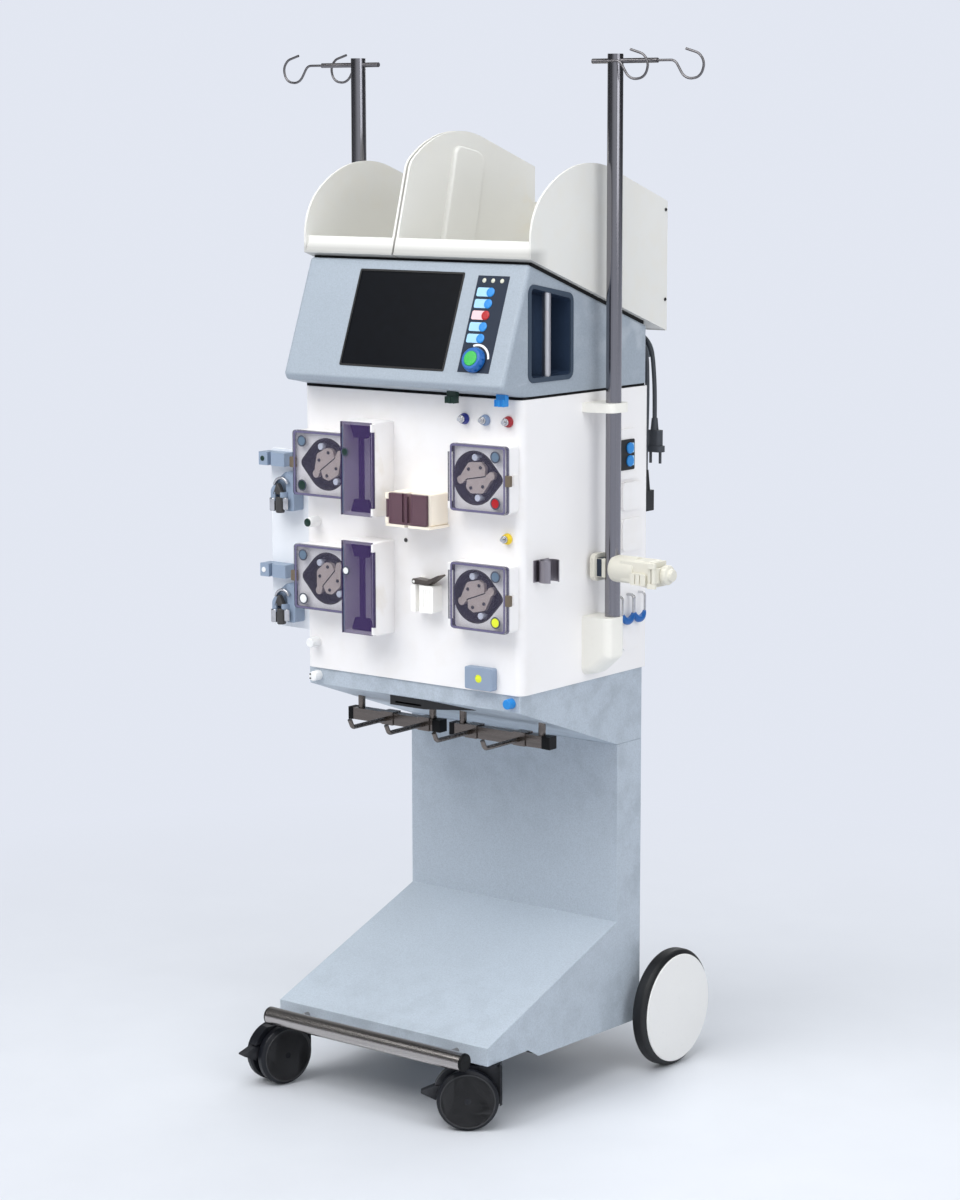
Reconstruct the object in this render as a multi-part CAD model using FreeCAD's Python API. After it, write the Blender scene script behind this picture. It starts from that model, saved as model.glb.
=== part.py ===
import FreeCAD, Part
import math
import os

# Blood treatment machine on a wheeled stand, millimetres, +Z up.
# X runs to the machine's left-right, the operator stands at -Y and looks along +Y.
# While it is drawn, Y = 0 is the front face of the white cabinet and Z = 0 the floor.
# At the end everything is shifted so that the origin lies on the floor under the
# middle of the overall box.

V = FreeCAD.Vector

# Cabinet
cabinet_half = 225.0
cabinet_depth = 343.5
cabinet_bottom = 692.0
cabinet_top = 1160.0
cabinet_wall = 4.0
cabinet_corner = 15.0
seal_height = 4.5
seal_inset = 3.0
rear_cover_thick = 4.0
side_pad_height = 6.0

# Clearances
running_clearance = 0.05
pin_clearance = 0.08
small_gap = 0.3

# Twin wheel casters at the front
caster_radius = 50.0
caster_trail = 32.0
caster_half_width = 27.5
caster_wheel_gap = 19.0
caster_turn = {"left": -15.0, "right": -52.0}
caster_collar_radius = 20.0
stem_radius = 5.5
hood_rise = 7.0

# Stand: ramp, column and the pan that carries the cabinet
stand_half = cabinet_half - 5.0
stand_wall = 3.0
ramp_front_y = -82.0
ramp_front_bottom = 2 * caster_radius + 6.5
ramp_front_top = ramp_front_bottom + 30.2
ramp_step_y = 26.0
ramp_step_run = 28.0
ramp_step_rise = 16.5
ramp_step_bottom = ramp_front_bottom - ramp_step_rise
stand_rear_bottom = ramp_step_bottom - 6.4
column_rear_y = cabinet_depth - 4.5
column_depth = 69.0
column_front_y = column_rear_y - column_depth
column_foot_z = 267.0
pan_front_y = 3.0
pan_lip_bottom = cabinet_bottom - 28.0
pan_fall = 94.5
column_head_z = pan_lip_bottom - pan_fall
caster_x = stand_half - 15.0
caster_y = ramp_front_y + 20.0

# Bumper bar
bumper_radius = 15.0
bumper_y = ramp_front_y - 41.0
bumper_z = ramp_front_bottom + bumper_radius
bumper_half = stand_half - 16.0
bumper_cap = 4.0
bumper_stud_x = bumper_half - 46.0
bumper_stud_radius = 5.0

# Rear wheels
rear_radius = 100.0
rear_y = column_rear_y + 46.0
rear_inner_x = stand_half + 18.0
rear_width = 33.0
rear_outer_x = rear_inner_x + rear_width
rear_disc_radius = rear_radius - 8.0
tyre_inner_radius = rear_radius - 20.0
axle_radius = 8.0
axle_beam_half = rear_inner_x - 10.0

# Operator head with the tilted panel
head_underside_y = 4.0
head_chin_y = -44.0
head_chin_z = cabinet_top + 14.0
panel_foot_y = -49.0
panel_foot_z = cabinet_top + 24.0
panel_top_y = 20.5
panel_top_z = panel_foot_z + 186.0
head_rear_y = cabinet_depth - 3.5
head_fall = 0.348
head_wall = 4.0
strip_width = 61.5
strip_right = cabinet_half - 32.5
strip_left = strip_right - strip_width
strip_low = 20.5
strip_high = strip_low + 157.0
screen_width = 210.0
screen_right = strip_left - 29.5
screen_left = screen_right - screen_width
screen_low = strip_low + 1.1
screen_high = screen_low + 157.7
key_column = strip_left + 31.0
key_count = 5
key_pitch = 18.8
key_first = strip_high - 26.7
key_radius = 6.8
knob_u = strip_left + 30.0
knob_v = strip_low + 19.5
knob_radius = 20.0
knob_height = 12.0
button_radius = 12.0
button_travel = 1.5

# Hand grips in the sides of the head
grip_front_y = 16.0
grip_length = 118.0
grip_rear_y = grip_front_y + grip_length
grip_low_z = panel_foot_z + 1.5
grip_high_front_z = panel_top_z - 29.0
grip_high_rear_z = grip_high_front_z - 21.0
grip_corner = 14.0
grip_depth = 50.0
grip_wall = 3.0
grip_flange = 7.5
grip_bar_radius = 7.0
grip_bar_y = grip_front_y + 60.0
grip_bar_inset = 9.0

# Bag trays on the head. Knee and peak are corners of the wall outlines: run back from
# the front, rise above the seat, corner radius.
tray_gap = 5.0
tray_wall = 4.0
tray_outer_x = cabinet_half + 7.0
tray_split_x = -45.0
tray_split_gap = 4.0
tray_front_y = panel_top_y - 6.5
tray_rear_y = cabinet_depth + 42.5
tray_lip = 27.0
outer_wall_knee = (0.0, 71.9, 96.0)
outer_wall_peak = (117.3, 170.3, 186.0)
divider_knee = (41.3, 146.8, 35.0)
divider_peak = (132.6, 218.2, 186.0)
rib_run = 104.0
rib_width = 78.0
rib_lean = 48.0
rib_height = 208.0
rib_fall = 15.5
rib_thick = 8.0

# Infusion poles
pole_x = cabinet_half + 38.5
pole_y = cabinet_depth - 151.5
pole_radius = 12.5
socket_low = cabinet_bottom + 11.0
socket_high = socket_low + 97.0
pole_seat = 40.0
pole_bottom = socket_high - pole_seat
pole_length = 932.0
pole_top = pole_bottom + pole_length
hook_bar_z = pole_top - 11.0
hook_bar_radius = 4.0
hook_wire_radius = 2.0
hook_bar_inner = 44.0
hook_bar_outer = 80.0
hook_shift = 94.0
hook_profile = ((112.5, 0.0, 14.0), (131.5, -30.0, 22.0), (160.5, -26.0, 18.0),
                (167.5, -3.0, 18.0), (156.5, 10.0, 18.0), (132.5, 17.0, 0.0))
bracket_low = cabinet_top - 30.0
bracket_high = bracket_low + 15.0
bracket_reach = 18.0
socket_reach = 15.0

# Peristaltic pumps: two columns of two
pump_x = cabinet_half - 72.0
pump_drop = 123.0
pump_pitch = 188.0
pump_heights = {"upper": cabinet_top - pump_drop, "lower": cabinet_top - pump_drop - pump_pitch}
rotor_turn = {
    "upper_right_pump": 0.0,
    "lower_right_pump": 10.0,
    "upper_left_pump": 25.0,
    "lower_left_pump": 36.0,
}
pump_half_height = 53.5
pump_hinge_side = -44.5
pump_latch_side = 66.0
pump_front = 26.0
pump_corner = 6.0
track_radius = pump_half_height - 12.5
track_tip = pump_latch_side - 13.0
track_tip_radius = 8.0
track_wall = 2.0
track_floor = 4.0
rotor_reach = track_radius - 3.0
rotor_thick = 8.0
roller_radius = 5.0
roller_pitch = rotor_reach - 6.0
shaft_radius = 5.0
door_thick = 2.5
door_rim = 6.5
door_hinge_radius = 3.8
hinge_pin_radius = 2.0
hinge_barrel = 2 * pump_half_height - 29.0
hinge_lug_half = 3.8
marker_radius = 8.5
marker_dx = pump_latch_side - 19.5
marker_dz = pump_half_height - 17.2

# Plate warmers beside the left pumps
warmer_left = -pump_x - pump_hinge_side + 7.5
warmer_width = 68.0
warmer_right = warmer_left + warmer_width
warmer_front = 47.0
warmer_drop = {"upper": 76.0, "lower": 81.0}
warmer_heights = {level: pump_heights[level] - drop for level, drop in warmer_drop.items()}
warmer_height = 153.0
warmer_wall = 4.0
warmer_door = 3.2
warmer_rod_radius = 4.0

# Blood leak detector and air detector
leak_left = warmer_right + 25.0
leak_width = 86.0
leak_right = leak_left + leak_width
leak_low = pump_heights["upper"] - 82.0
leak_height = 51.0
leak_high = leak_low + leak_height
leak_front = 44.0
leak_lid = 6.0
air_left = leak_left + 28.0
air_width = 46.0
air_right = air_left + air_width
air_high = leak_low - 99.0
air_height = 44.0
air_low = air_high - air_height
air_front = 24.0
line_groove = 8.0

# Weighing bars under the pan
scale_y = pan_front_y + 97.0
scale_top = pan_lip_bottom - 54.0
scale_bar_height = 20.0
scale_bar_depth = 18.0
scale_ends = ((-cabinet_half + 22.0, -21.0), (15.0, cabinet_half - 20.0))
scale_cap = 8.0
scale_post_radius = 6.0
scale_post_inset = 14.0
scale_hook_insets = ((78.0, 26.0), (38.0, 53.0))
scale_hooks_x = [(x0 + near, x1 - far)
                 for (x0, x1), (near, far) in zip(scale_ends, scale_hook_insets)]
scale_hook_radius = 3.8
scale_hook_tip_y = pan_front_y - 6.0

# Mains lead
cord_radius = 3.75
gland_length = 34.0
saddle_x = 173.0
saddle_z = 1204.0
saddle_radius = 37.0
saddle_length = 36.0
saddle_lip = 4.0
strand_spacing = 16.0
gland_y = cabinet_depth + 18.5
coil_x = 85.5
coil_z = 1118.0
coil_front = cabinet_depth + 6.5
coil_mean_radius = 39.0
coil_half_section = 12.0
coil_peg_radius = 6.0
# Points (X, Z) of the two hanging stretches: gland to coil, and coil to plug.
gland_strand = (
    (214.0, 1019.0), (214.0, 1055.0), (216.0, 1108.0), (216.5, 1160.0), (214.6, 1221.0),
    (190.0, 1245.0), (156.0, 1245.0), (132.0, 1221.0), (131.6, 1179.0), (132.0, 1139.0),
)
plug_strand = (
    (39.0, 1130.0), (40.0, 1170.0), (55.0, 1208.0), (87.0, 1233.0), (122.0, 1243.0),
    (156.0, 1245.0), (190.0, 1245.0), (214.0, 1221.0), (219.0, 1172.0), (220.4, 1137.0),
    (220.4, 1104.0),
)


def box(x0, x1, y0, y1, z0, z1):
    return Part.makeBox(x1 - x0, y1 - y0, z1 - z0, V(x0, y0, z0))


def rod(start, direction, radius, length):
    return Part.makeCylinder(radius, length, V(*start), V(*direction))


def outline(points, place, closed=True):
    # Straight runs joined by arcs. A point is (a, b) or (a, b, corner radius).
    count = len(points)
    stops = []
    for i, point in enumerate(points):
        a = V(point[0], point[1], 0)
        radius = point[2] if len(point) > 2 else 0.0
        inner = closed or 0 < i < count - 1
        if radius <= 0 or not inner:
            stops.append((a, None, a))
            continue
        before = V(*points[i - 1][:2], 0) - a
        after = V(*points[(i + 1) % count][:2], 0) - a
        before.normalize()
        after.normalize()
        half = before.getAngle(after) / 2
        reach = radius / math.tan(half)
        middle = (before + after)
        middle.normalize()
        centre = a + middle * (radius / math.sin(half))
        stops.append((a + before * reach, centre - middle * radius, a + after * reach))
    edges = []
    for i, (start, middle, end) in enumerate(stops):
        if middle is not None:
            edges.append(Part.Arc(place(start), place(middle), place(end)).toShape())
        if closed or i < count - 1:
            following = stops[(i + 1) % count][0]
            if (following - end).Length > 1e-6:
                edges.append(Part.LineSegment(place(end), place(following)).toShape())
    return Part.Wire(edges)


def side_prism(points, x0, x1):
    # Outline in (Y, Z), drawn out along X.
    wire = outline(points, lambda p: V(x0, p.x, p.y))
    return Part.Face(wire).extrude(V(x1 - x0, 0, 0))


def front_prism(points, y0, y1):
    # Outline in (X, Z), drawn out along Y.
    wire = outline(points, lambda p: V(p.x, y0, p.y))
    return Part.Face(wire).extrude(V(0, y1 - y0, 0))


def plan_prism(points, z0, z1):
    # Outline in (X, Y), drawn out along Z.
    wire = outline(points, lambda p: V(p.x, p.y, z0))
    return Part.Face(wire).extrude(V(0, 0, z1 - z0))


def rectangle(a0, a1, b0, b1, radius):
    return [(a0, b0, radius), (a1, b0, radius), (a1, b1, radius), (a0, b1, radius)]


def disc_y(x, z, radius, y0, y1):
    return rod((x, y0, z), (0, 1, 0), radius, y1 - y0)


def bent_rod(points, place, radius):
    # Round bar along straight runs and arcs that lie in one plane.
    path = outline(points, place, closed=False)
    first = place(V(points[0][0], points[0][1], 0))
    second = place(V(points[1][0], points[1][1], 0))
    circle = Part.Wire([Part.Circle(first, second - first, radius).toShape()])
    return path.makePipeShell([circle], True, True)


def turned(points, origin, axis, across):
    # Revolve an outline of (distance along the axis, radius) points.
    along = V(*axis)
    side = V(*across)
    start = V(*origin)
    wire = outline(points, lambda p: start + along * p.x + side * p.y)
    return Part.Face(wire).revolve(start, along, 360)


def joined(shapes):
    result = shapes[0].multiFuse(shapes[1:]) if len(shapes) > 1 else shapes[0]
    return result.removeSplitter()


def group(shapes):
    return Part.makeCompound(shapes)


def mirrored_x(shape):
    return shape.mirror(V(0, 0, 0), V(1, 0, 0))


def round_edges(shape, radius, wanted):
    edges = [edge for edge in shape.Edges if wanted(edge)]
    return shape.makeFillet(radius, edges)


nodes = {}


# Stand
def ramp_top(y):
    return ramp_front_top + (y - ramp_front_y) * (column_foot_z - ramp_front_top) / (
        column_front_y - ramp_front_y
    )


def pan_under(y):
    return pan_lip_bottom - (y - pan_front_y) * (pan_lip_bottom - column_head_z) / (
        column_front_y - pan_front_y
    )


def stand_shell():
    outer = side_prism(
        [
            (ramp_front_y, ramp_front_bottom),
            (ramp_step_y, ramp_front_bottom),
            (ramp_step_y + ramp_step_run, ramp_step_bottom),
            (column_rear_y, stand_rear_bottom),
            (column_rear_y, column_head_z),
            (column_front_y, column_head_z),
            (column_front_y, column_foot_z),
            (ramp_front_y, ramp_front_top),
        ],
        -stand_half,
        stand_half,
    )
    inner_front = ramp_front_y + stand_wall
    inner_column = column_front_y + stand_wall
    inner = side_prism(
        [
            (inner_front, 0),
            (column_rear_y - stand_wall, 0),
            (column_rear_y - stand_wall, column_head_z - stand_wall),
            (inner_column, column_head_z - stand_wall),
            (inner_column, ramp_top(inner_column) - 1.2 * stand_wall),
            (inner_front, ramp_top(inner_front) - 1.2 * stand_wall),
        ],
        -stand_half + stand_wall,
        stand_half - stand_wall,
    )
    shell = outer.cut(inner)
    for side in (-1, 1):
        x0, x1 = sorted((side * (rail_outer + 1), side * (rail_inner - 1)))
        slot = box(x0, x1, column_rear_y - 2 * stand_wall, column_rear_y + 1, 0, rail_top + 1)
        shell = shell.cut(slot)
    return shell


rail_outer = stand_half - 6.0
rail_width = 22.0
rail_inner = rail_outer - rail_width
rail_low = ramp_step_bottom + 2.0
rail_top = rail_low + 26.0
beam_front_y = ramp_front_y + 5.0
beam_rear_y = beam_front_y + 39.0
beam_low = ramp_front_bottom
beam_top = beam_low + 21.5
axle_beam_front = column_rear_y
axle_beam_rear = rear_y + 17.0
axle_beam_low = min(rear_radius - 18.0, rail_low)
axle_beam_top = max(rear_radius + 18.0, rail_top)


def chassis_frame():
    front = box(-rail_outer, rail_outer, beam_front_y, beam_rear_y, beam_low, beam_top)
    rear = side_prism(
        [
            (axle_beam_front, axle_beam_low, 0),
            (axle_beam_rear, axle_beam_low, 8),
            (axle_beam_rear, axle_beam_top, 14),
            (axle_beam_front, axle_beam_top, 0),
        ],
        -axle_beam_half,
        axle_beam_half,
    )
    pieces = [front, rear]
    for side in (-1, 1):
        x0, x1 = sorted((side * rail_inner, side * rail_outer))
        pieces.append(box(x0, x1, ramp_step_y + ramp_step_run, axle_beam_front, rail_low, rail_top))
        pieces.append(box(x0, x1, beam_rear_y - 1, ramp_step_y + ramp_step_run, beam_low, rail_top))
        pieces.append(
            rod((side * axle_beam_half, rear_y, rear_radius), (side, 0, 0), axle_radius,
                rear_outer_x - 8 - axle_beam_half)
        )
    frame = joined(pieces)
    for side in (-1, 1):
        hole = rod((side * caster_x, caster_y, beam_low - 1), (0, 0, 1), stem_radius, 16)
        frame = frame.cut(hole)
    return frame


def lower_pan():
    def profile(inset):
        top = cabinet_bottom + (1 if inset else 0)
        return [
            (pan_front_y + inset, top),
            (pan_front_y + inset, pan_lip_bottom + inset),
            (column_front_y, column_head_z + inset * 1.07),
            (column_rear_y - inset, column_head_z + inset),
            (column_rear_y - inset, top),
        ]

    outer = side_prism(profile(0), -stand_half, stand_half)
    inner = side_prism(profile(stand_wall), -stand_half + stand_wall, stand_half - stand_wall)
    return outer.cut(inner)


def bumper_bar():
    bar = rod((-bumper_half, bumper_y, bumper_z), (1, 0, 0), bumper_radius, 2 * bumper_half)
    pieces = [bar]
    for side in (-1, 1):
        pieces.append(
            rod((side * bumper_stud_x, bumper_y, bumper_z), (0, 1, 0), bumper_stud_radius,
                ramp_front_y - bumper_y)
        )
    return joined(pieces)


def bar_end_caps():
    caps = []
    for side in (-1, 1):
        caps.append(
            turned(
                [(0, 0), (0, bumper_radius), (bumper_cap, bumper_radius - 0.5, 2.5), (bumper_cap, 0)],
                (side * bumper_half, bumper_y, bumper_z),
                (side, 0, 0),
                (0, 0, 1),
            )
        )
    for ends in scale_ends:
        for x, outward in ((ends[0], -1), (ends[1], 1)):
            x0, x1 = sorted((x, x + outward * scale_cap))
            caps.append(
                box(x0, x1, scale_y - scale_bar_depth / 2 - 0.5, scale_y + scale_bar_depth / 2 + 0.5,
                    scale_top - scale_bar_height - 0.5, scale_top + 0.5)
            )
    return group(caps)


# Casters, drawn with the swivel axis at X = Y = 0 and the wheels trailing to -Y
def caster_place(shape, side):
    sign = -1 if side == "left" else 1
    shape = shape.copy()
    shape.rotate(V(0, 0, 0), V(0, 0, 1), caster_turn[side])
    shape.translate(V(sign * caster_x, caster_y, 0))
    return shape


def caster_yoke():
    axle_y = -caster_trail
    plate_half = caster_wheel_gap / 2 - 1
    top = ramp_front_bottom - small_gap
    web = disc_x(axle_y, caster_radius, caster_radius + hood_rise, plate_half)
    web = web.common(box(-99, 99, axle_y - 99, 99, caster_radius + 22, top - 7))
    core = disc_x(axle_y, caster_radius, caster_radius - 12, plate_half)
    neck = box(-plate_half, plate_half, axle_y, fork_rear_y - 1, caster_radius - 10, top - 4)
    rear_wall = side_prism(
        [
            (fork_rear_y - 4, caster_radius - 12, 0),
            (fork_rear_y, caster_radius - 10, 2),
            (fork_rear_y, top, 3),
            (fork_rear_y - 4, top, 0),
        ],
        -14,
        14,
    )
    collar = rod((0, 0, top - 4), (0, 0, 1), caster_collar_radius, 4)
    stem = rod((0, 0, top - 1), (0, 0, 1), stem_radius - running_clearance, 13)
    tongue = box(-3.5, 3.5, pedal_pivot_y - 4, axle_y, pedal_pivot_z - 6, pedal_pivot_z + 6)
    pin = rod((-8, pedal_pivot_y, pedal_pivot_z), (1, 0, 0), hinge_pin_radius, 16)
    yoke = joined([web, core, neck, rear_wall, collar, stem, tongue, pin])
    bore = rod((-20, axle_y, caster_radius), (1, 0, 0), 6 + running_clearance, 40)
    return yoke.cut(bore)


def disc_x(y, z, radius, half):
    return rod((-half, y, z), (1, 0, 0), radius, 2 * half)


fork_rear_y = caster_radius + 5.0 - caster_trail
pedal_pivot_y = -caster_trail - caster_radius + 6
pedal_pivot_z = caster_radius + 14.0
pedal_tip_y = pedal_pivot_y - 34


def caster_wheels():
    inner = caster_wheel_gap / 2
    pieces = [disc_x(-caster_trail, caster_radius, 6, inner + 1)]
    for side in (-1, 1):
        width = caster_half_width - inner
        profile = [
            (0, 0),
            (0, caster_radius - 3),
            (3, caster_radius, 2.5),
            (width - 5, caster_radius, 4),
            (width - 1, caster_radius - 5, 1),
            (width - 1, caster_radius - 7),
            (width - 2.5, caster_radius - 8),
            (width, 0),
        ]
        pieces.append(
            turned(profile, (side * inner, -caster_trail, caster_radius), (side, 0, 0), (0, 0, 1))
        )
    return joined(pieces)


def brake_pedal():
    body = side_prism(
        [
            (pedal_pivot_y + 4, pedal_pivot_z - 6, 2),
            (pedal_pivot_y + 4, pedal_pivot_z + 6, 2),
            (pedal_pivot_y - 8, pedal_pivot_z + 6, 4),
            (pedal_tip_y, pedal_pivot_z - 5, 2),
            (pedal_pivot_y - 7, pedal_pivot_z - 18, 2),
        ],
        -8,
        8,
    )
    slot = box(-3.8, 3.8, pedal_pivot_y - 7.6, pedal_pivot_y + 9, pedal_pivot_z - 24,
               pedal_pivot_z + 16)
    bore = rod((-9, pedal_pivot_y, pedal_pivot_z), (1, 0, 0), hinge_pin_radius + pin_clearance, 18)
    return body.cut(slot).cut(bore)


# Rear wheels
def rear_wheel(side):
    hub = [
        (-1, axle_radius + running_clearance),
        (-1, 18, 1),
        (10, 18, 4),
        (10, tyre_inner_radius - 8),
        (4, tyre_inner_radius - 4, 1),
        (4, tyre_inner_radius),
        (rear_outer_x - rear_inner_x - 5, tyre_inner_radius),
        (rear_outer_x - rear_inner_x - 5, rear_disc_radius, 1),
        (rear_outer_x - rear_inner_x - 2, rear_disc_radius, 2),
        (rear_outer_x - rear_inner_x, 30, 40),
        (rear_outer_x - rear_inner_x, 0),
        (rear_outer_x - rear_inner_x - 6, 0),
        (rear_outer_x - rear_inner_x - 6, axle_radius + running_clearance),
    ]
    return turned(hub, (side * rear_inner_x, rear_y, rear_radius), (side, 0, 0), (0, 0, 1))


def rear_tyre(side):
    width = rear_outer_x - rear_inner_x - 5
    profile = [
        (0, tyre_inner_radius),
        (0, rear_radius - 9, 4),
        (5, rear_radius, 8),
        (width - 4, rear_radius, 7),
        (width, rear_radius - 8, 3),
        (width, tyre_inner_radius),
    ]
    return turned(profile, (side * rear_inner_x, rear_y, rear_radius), (side, 0, 0), (0, 0, 1))


# Cabinet
# Moulded pads on the right side: front edge, rear edge, low and high.
side_pads = (
    (cabinet_depth - 93.5, cabinet_depth - 39.5, cabinet_top - 148, cabinet_top - 66),
    (cabinet_depth - 77.5, cabinet_depth - 21.5, cabinet_top - 200, cabinet_top - 154),
    (cabinet_depth - 77.5, cabinet_depth - 21.5, cabinet_bottom + 201, cabinet_bottom + 254),
    (cabinet_depth - 75.5, cabinet_depth - 27.5, cabinet_bottom + 36, cabinet_bottom + 84),
)


def body_shell():
    outer = plan_prism(
        [
            (-cabinet_half, 0, cabinet_corner),
            (cabinet_half, 0, cabinet_corner),
            (cabinet_half, cabinet_depth, 5),
            (-cabinet_half, cabinet_depth, 5),
        ],
        cabinet_bottom,
        cabinet_top,
    )
    wall = cabinet_wall
    inner = plan_prism(
        [
            (-cabinet_half + wall, wall, cabinet_corner - wall),
            (cabinet_half - wall, wall, cabinet_corner - wall),
            (cabinet_half - wall, cabinet_depth - 8),
            (-cabinet_half + wall, cabinet_depth - 8),
        ],
        cabinet_bottom + wall,
        cabinet_top - wall,
    )
    window = box(-cabinet_half + 12, cabinet_half - 12, cabinet_depth - 9, cabinet_depth + 1,
                 cabinet_bottom + 12, cabinet_top - 12)
    seat = box(-cabinet_half + wall, cabinet_half - wall, cabinet_depth - rear_cover_thick,
               cabinet_depth + 1, cabinet_bottom + wall, cabinet_top - wall)
    shell = outer.cut(inner).cut(window).cut(seat)
    pads = []
    for y0, y1, z0, z1 in side_pads:
        pads.append(side_prism(rectangle(y0, y1, z0, z1, 8), cabinet_half - 1,
                               cabinet_half + side_pad_height))
    shell = joined([shell] + pads)
    for name in pump_names:
        cx, cz, mirror = pump_centre(name)
        shell = shell.cut(disc_y(cx, cz, shaft_radius + 2, -1, wall + 1))
    return shell


vent_rows = 9
vent_pitch = 16.0
vent_low = cabinet_bottom + 68.0
vent_half = 60.0
vent_x = 95.0


def rear_cover():
    gap = small_gap
    wall = cabinet_wall
    cover = box(-cabinet_half + wall + gap, cabinet_half - wall - gap,
                cabinet_depth - rear_cover_thick, cabinet_depth,
                cabinet_bottom + wall + gap, cabinet_top - wall - gap)
    for row in range(vent_rows):
        z = vent_low + row * vent_pitch
        for centre in (-vent_x, vent_x):
            slot = front_prism(rectangle(centre - vent_half, centre + vent_half, z, z + 6, 2.9),
                               cabinet_depth - 9, cabinet_depth + 1)
            cover = cover.cut(slot)
    peg_z = coil_z + coil_mean_radius - coil_half_section - coil_peg_radius - small_gap
    peg_end = coil_front + 2 * coil_half_section + 7
    peg = disc_y(coil_x, peg_z, coil_peg_radius, cabinet_depth - 1, peg_end)
    flange = disc_y(coil_x, peg_z, coil_peg_radius + 5, peg_end - 3, peg_end)
    return joined([cover, peg, flange])



# Head
def head_top(y):
    return panel_top_z - (y - panel_top_y) * head_fall


panel_lean = math.degrees(
    math.atan2(panel_top_y - panel_foot_y, panel_top_z - panel_foot_z)
)


def on_panel(shape):
    # Local X stays across, local Z runs up the panel, local -Y points out of it.
    shape = shape.copy()
    shape.rotate(V(0, 0, 0), V(1, 0, 0), -panel_lean)
    shape.translate(V(0, panel_foot_y, panel_foot_z))
    return shape


def panel_normal():
    lean = math.radians(panel_lean)
    return V(0, -math.cos(lean), math.sin(lean))


def grip_outline(grow):
    return [
        (grip_front_y - grow, grip_low_z - grow, grip_corner + grow),
        (grip_rear_y + grow, grip_low_z - grow, grip_corner + grow),
        (grip_rear_y + grow, grip_high_rear_z + grow, grip_corner + grow),
        (grip_front_y - grow, grip_high_front_z + grow, grip_corner + grow),
    ]


def head_housing():
    base = cabinet_top + seal_height
    outer = side_prism(
        [
            (head_underside_y, base),
            (head_chin_y, head_chin_z, 5),
            (panel_foot_y, panel_foot_z, 6),
            (panel_top_y, panel_top_z, 5),
            (head_rear_y, head_top(head_rear_y), 3),
            (head_rear_y, base),
        ],
        -cabinet_half,
        cabinet_half,
    )
    outer = round_edges(outer, 7, on_panel_side)
    wall = head_wall
    inner = side_prism(
        [
            (head_underside_y + wall + 2, base - 1),
            (head_underside_y + wall + 2, base + wall),
            (panel_foot_y + 12, panel_foot_z + 2),
            (panel_top_y + 2, panel_top_z - 2.2 * wall),
            (head_rear_y - wall, head_top(head_rear_y) - 1.2 * wall),
            (head_rear_y - wall, base - 1),
        ],
        -cabinet_half + wall,
        cabinet_half - wall,
    )
    screen_pocket = on_panel(box(screen_left, screen_right, -1, 3.5, screen_low, screen_high))
    strip_pocket = on_panel(box(strip_left, strip_right, -1, 1, strip_low, strip_high))
    head = outer.cut(inner).cut(screen_pocket).cut(strip_pocket)
    for side in (-1, 1):
        x0, x1 = sorted((side * (cabinet_half + 1), side * (cabinet_half - 2 * wall)))
        head = head.cut(side_prism(grip_outline(-grip_flange + grip_wall + small_gap), x0, x1))
    return joined([head, cable_saddle()])


def on_panel_side(edge):
    # The two long edges of the operator panel where it meets the sides.
    middle = edge.CenterOfMass
    tall = edge.BoundBox.ZLength > 0.8 * (panel_top_z - panel_foot_z)
    return tall and middle.y < panel_top_y and abs(abs(middle.x) - cabinet_half) < 0.01


def cable_saddle():
    # Half-round rest for the mains lead on the back of the head, with a low end lip.
    start = head_rear_y - 1
    drum = disc_y(saddle_x, saddle_z, saddle_radius, start, start + saddle_length)
    lip = disc_y(saddle_x, saddle_z, saddle_radius + saddle_lip, start + saddle_length,
                 start + saddle_length + 3)
    above = box(saddle_x - 99, saddle_x + 99, start, start + 99, saddle_z, saddle_z + 99)
    return joined([drum, lip]).common(above)


def display_screen():
    return on_panel(box(screen_left, screen_right, 0.8, 3.5, screen_low, screen_high))


def control_strip():
    sheet = box(strip_left, strip_right, -0.6, 1, strip_low, strip_high)
    keys = [sheet]
    for row in range(key_count):
        keys.append(disc_y(key_column, key_first - row * key_pitch, key_radius, -1.4, 0))
    hole = disc_y(knob_u, knob_v, shaft_radius, -2, 2)
    return on_panel(joined(keys).cut(hole))


def selector_knob():
    body = turned(
        [
            (0, button_radius + small_gap),
            (0, knob_radius, 1),
            (knob_height * 0.4, knob_radius, 2),
            (knob_height, knob_radius - 3, 2),
            (knob_height, button_radius + small_gap),
        ],
        (knob_u, -0.6 - small_gap, knob_v),
        (0, -1, 0),
        (0, 0, 1),
    )
    floor = disc_y(knob_u, knob_v, button_radius + 2, -4.5, -0.9)
    spindle = disc_y(knob_u, knob_v, shaft_radius - running_clearance, -1, 0.9)
    body = joined([body, floor, spindle])
    for step in range(12):
        angle = math.radians(step * 30)
        body = body.cut(
            disc_y(knob_u + (knob_radius + 1.5) * math.cos(angle),
                   knob_v + (knob_radius + 1.5) * math.sin(angle), 3, -knob_height - 2, -5)
        )
    return on_panel(body)


def selector_button():
    cap = turned(
        [
            (4.5 - 0.9 + small_gap + button_travel, 0),
            (4.5 - 0.9 + small_gap + button_travel, button_radius),
            (knob_height + 1.6, button_radius, 1.5),
            (knob_height + 1.9, 0),
        ],
        (knob_u, -0.9, knob_v),
        (0, -1, 0),
        (0, 0, 1),
    )
    return on_panel(cap)


def seam_gaskets():
    lower = box(-cabinet_half + seal_inset, cabinet_half - seal_inset, seal_inset + 3,
                cabinet_depth - seal_inset - 3, cabinet_top, cabinet_top + seal_height)
    front = panel_top_y + 8
    rear = head_rear_y - 6
    upper = side_prism(
        [
            (front, head_top(front)),
            (rear, head_top(rear)),
            (rear, head_top(rear) + tray_gap),
            (front, head_top(front) + tray_gap),
        ],
        -cabinet_half + seal_inset,
        cabinet_half - seal_inset,
    )
    return group([lower, upper])


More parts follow.
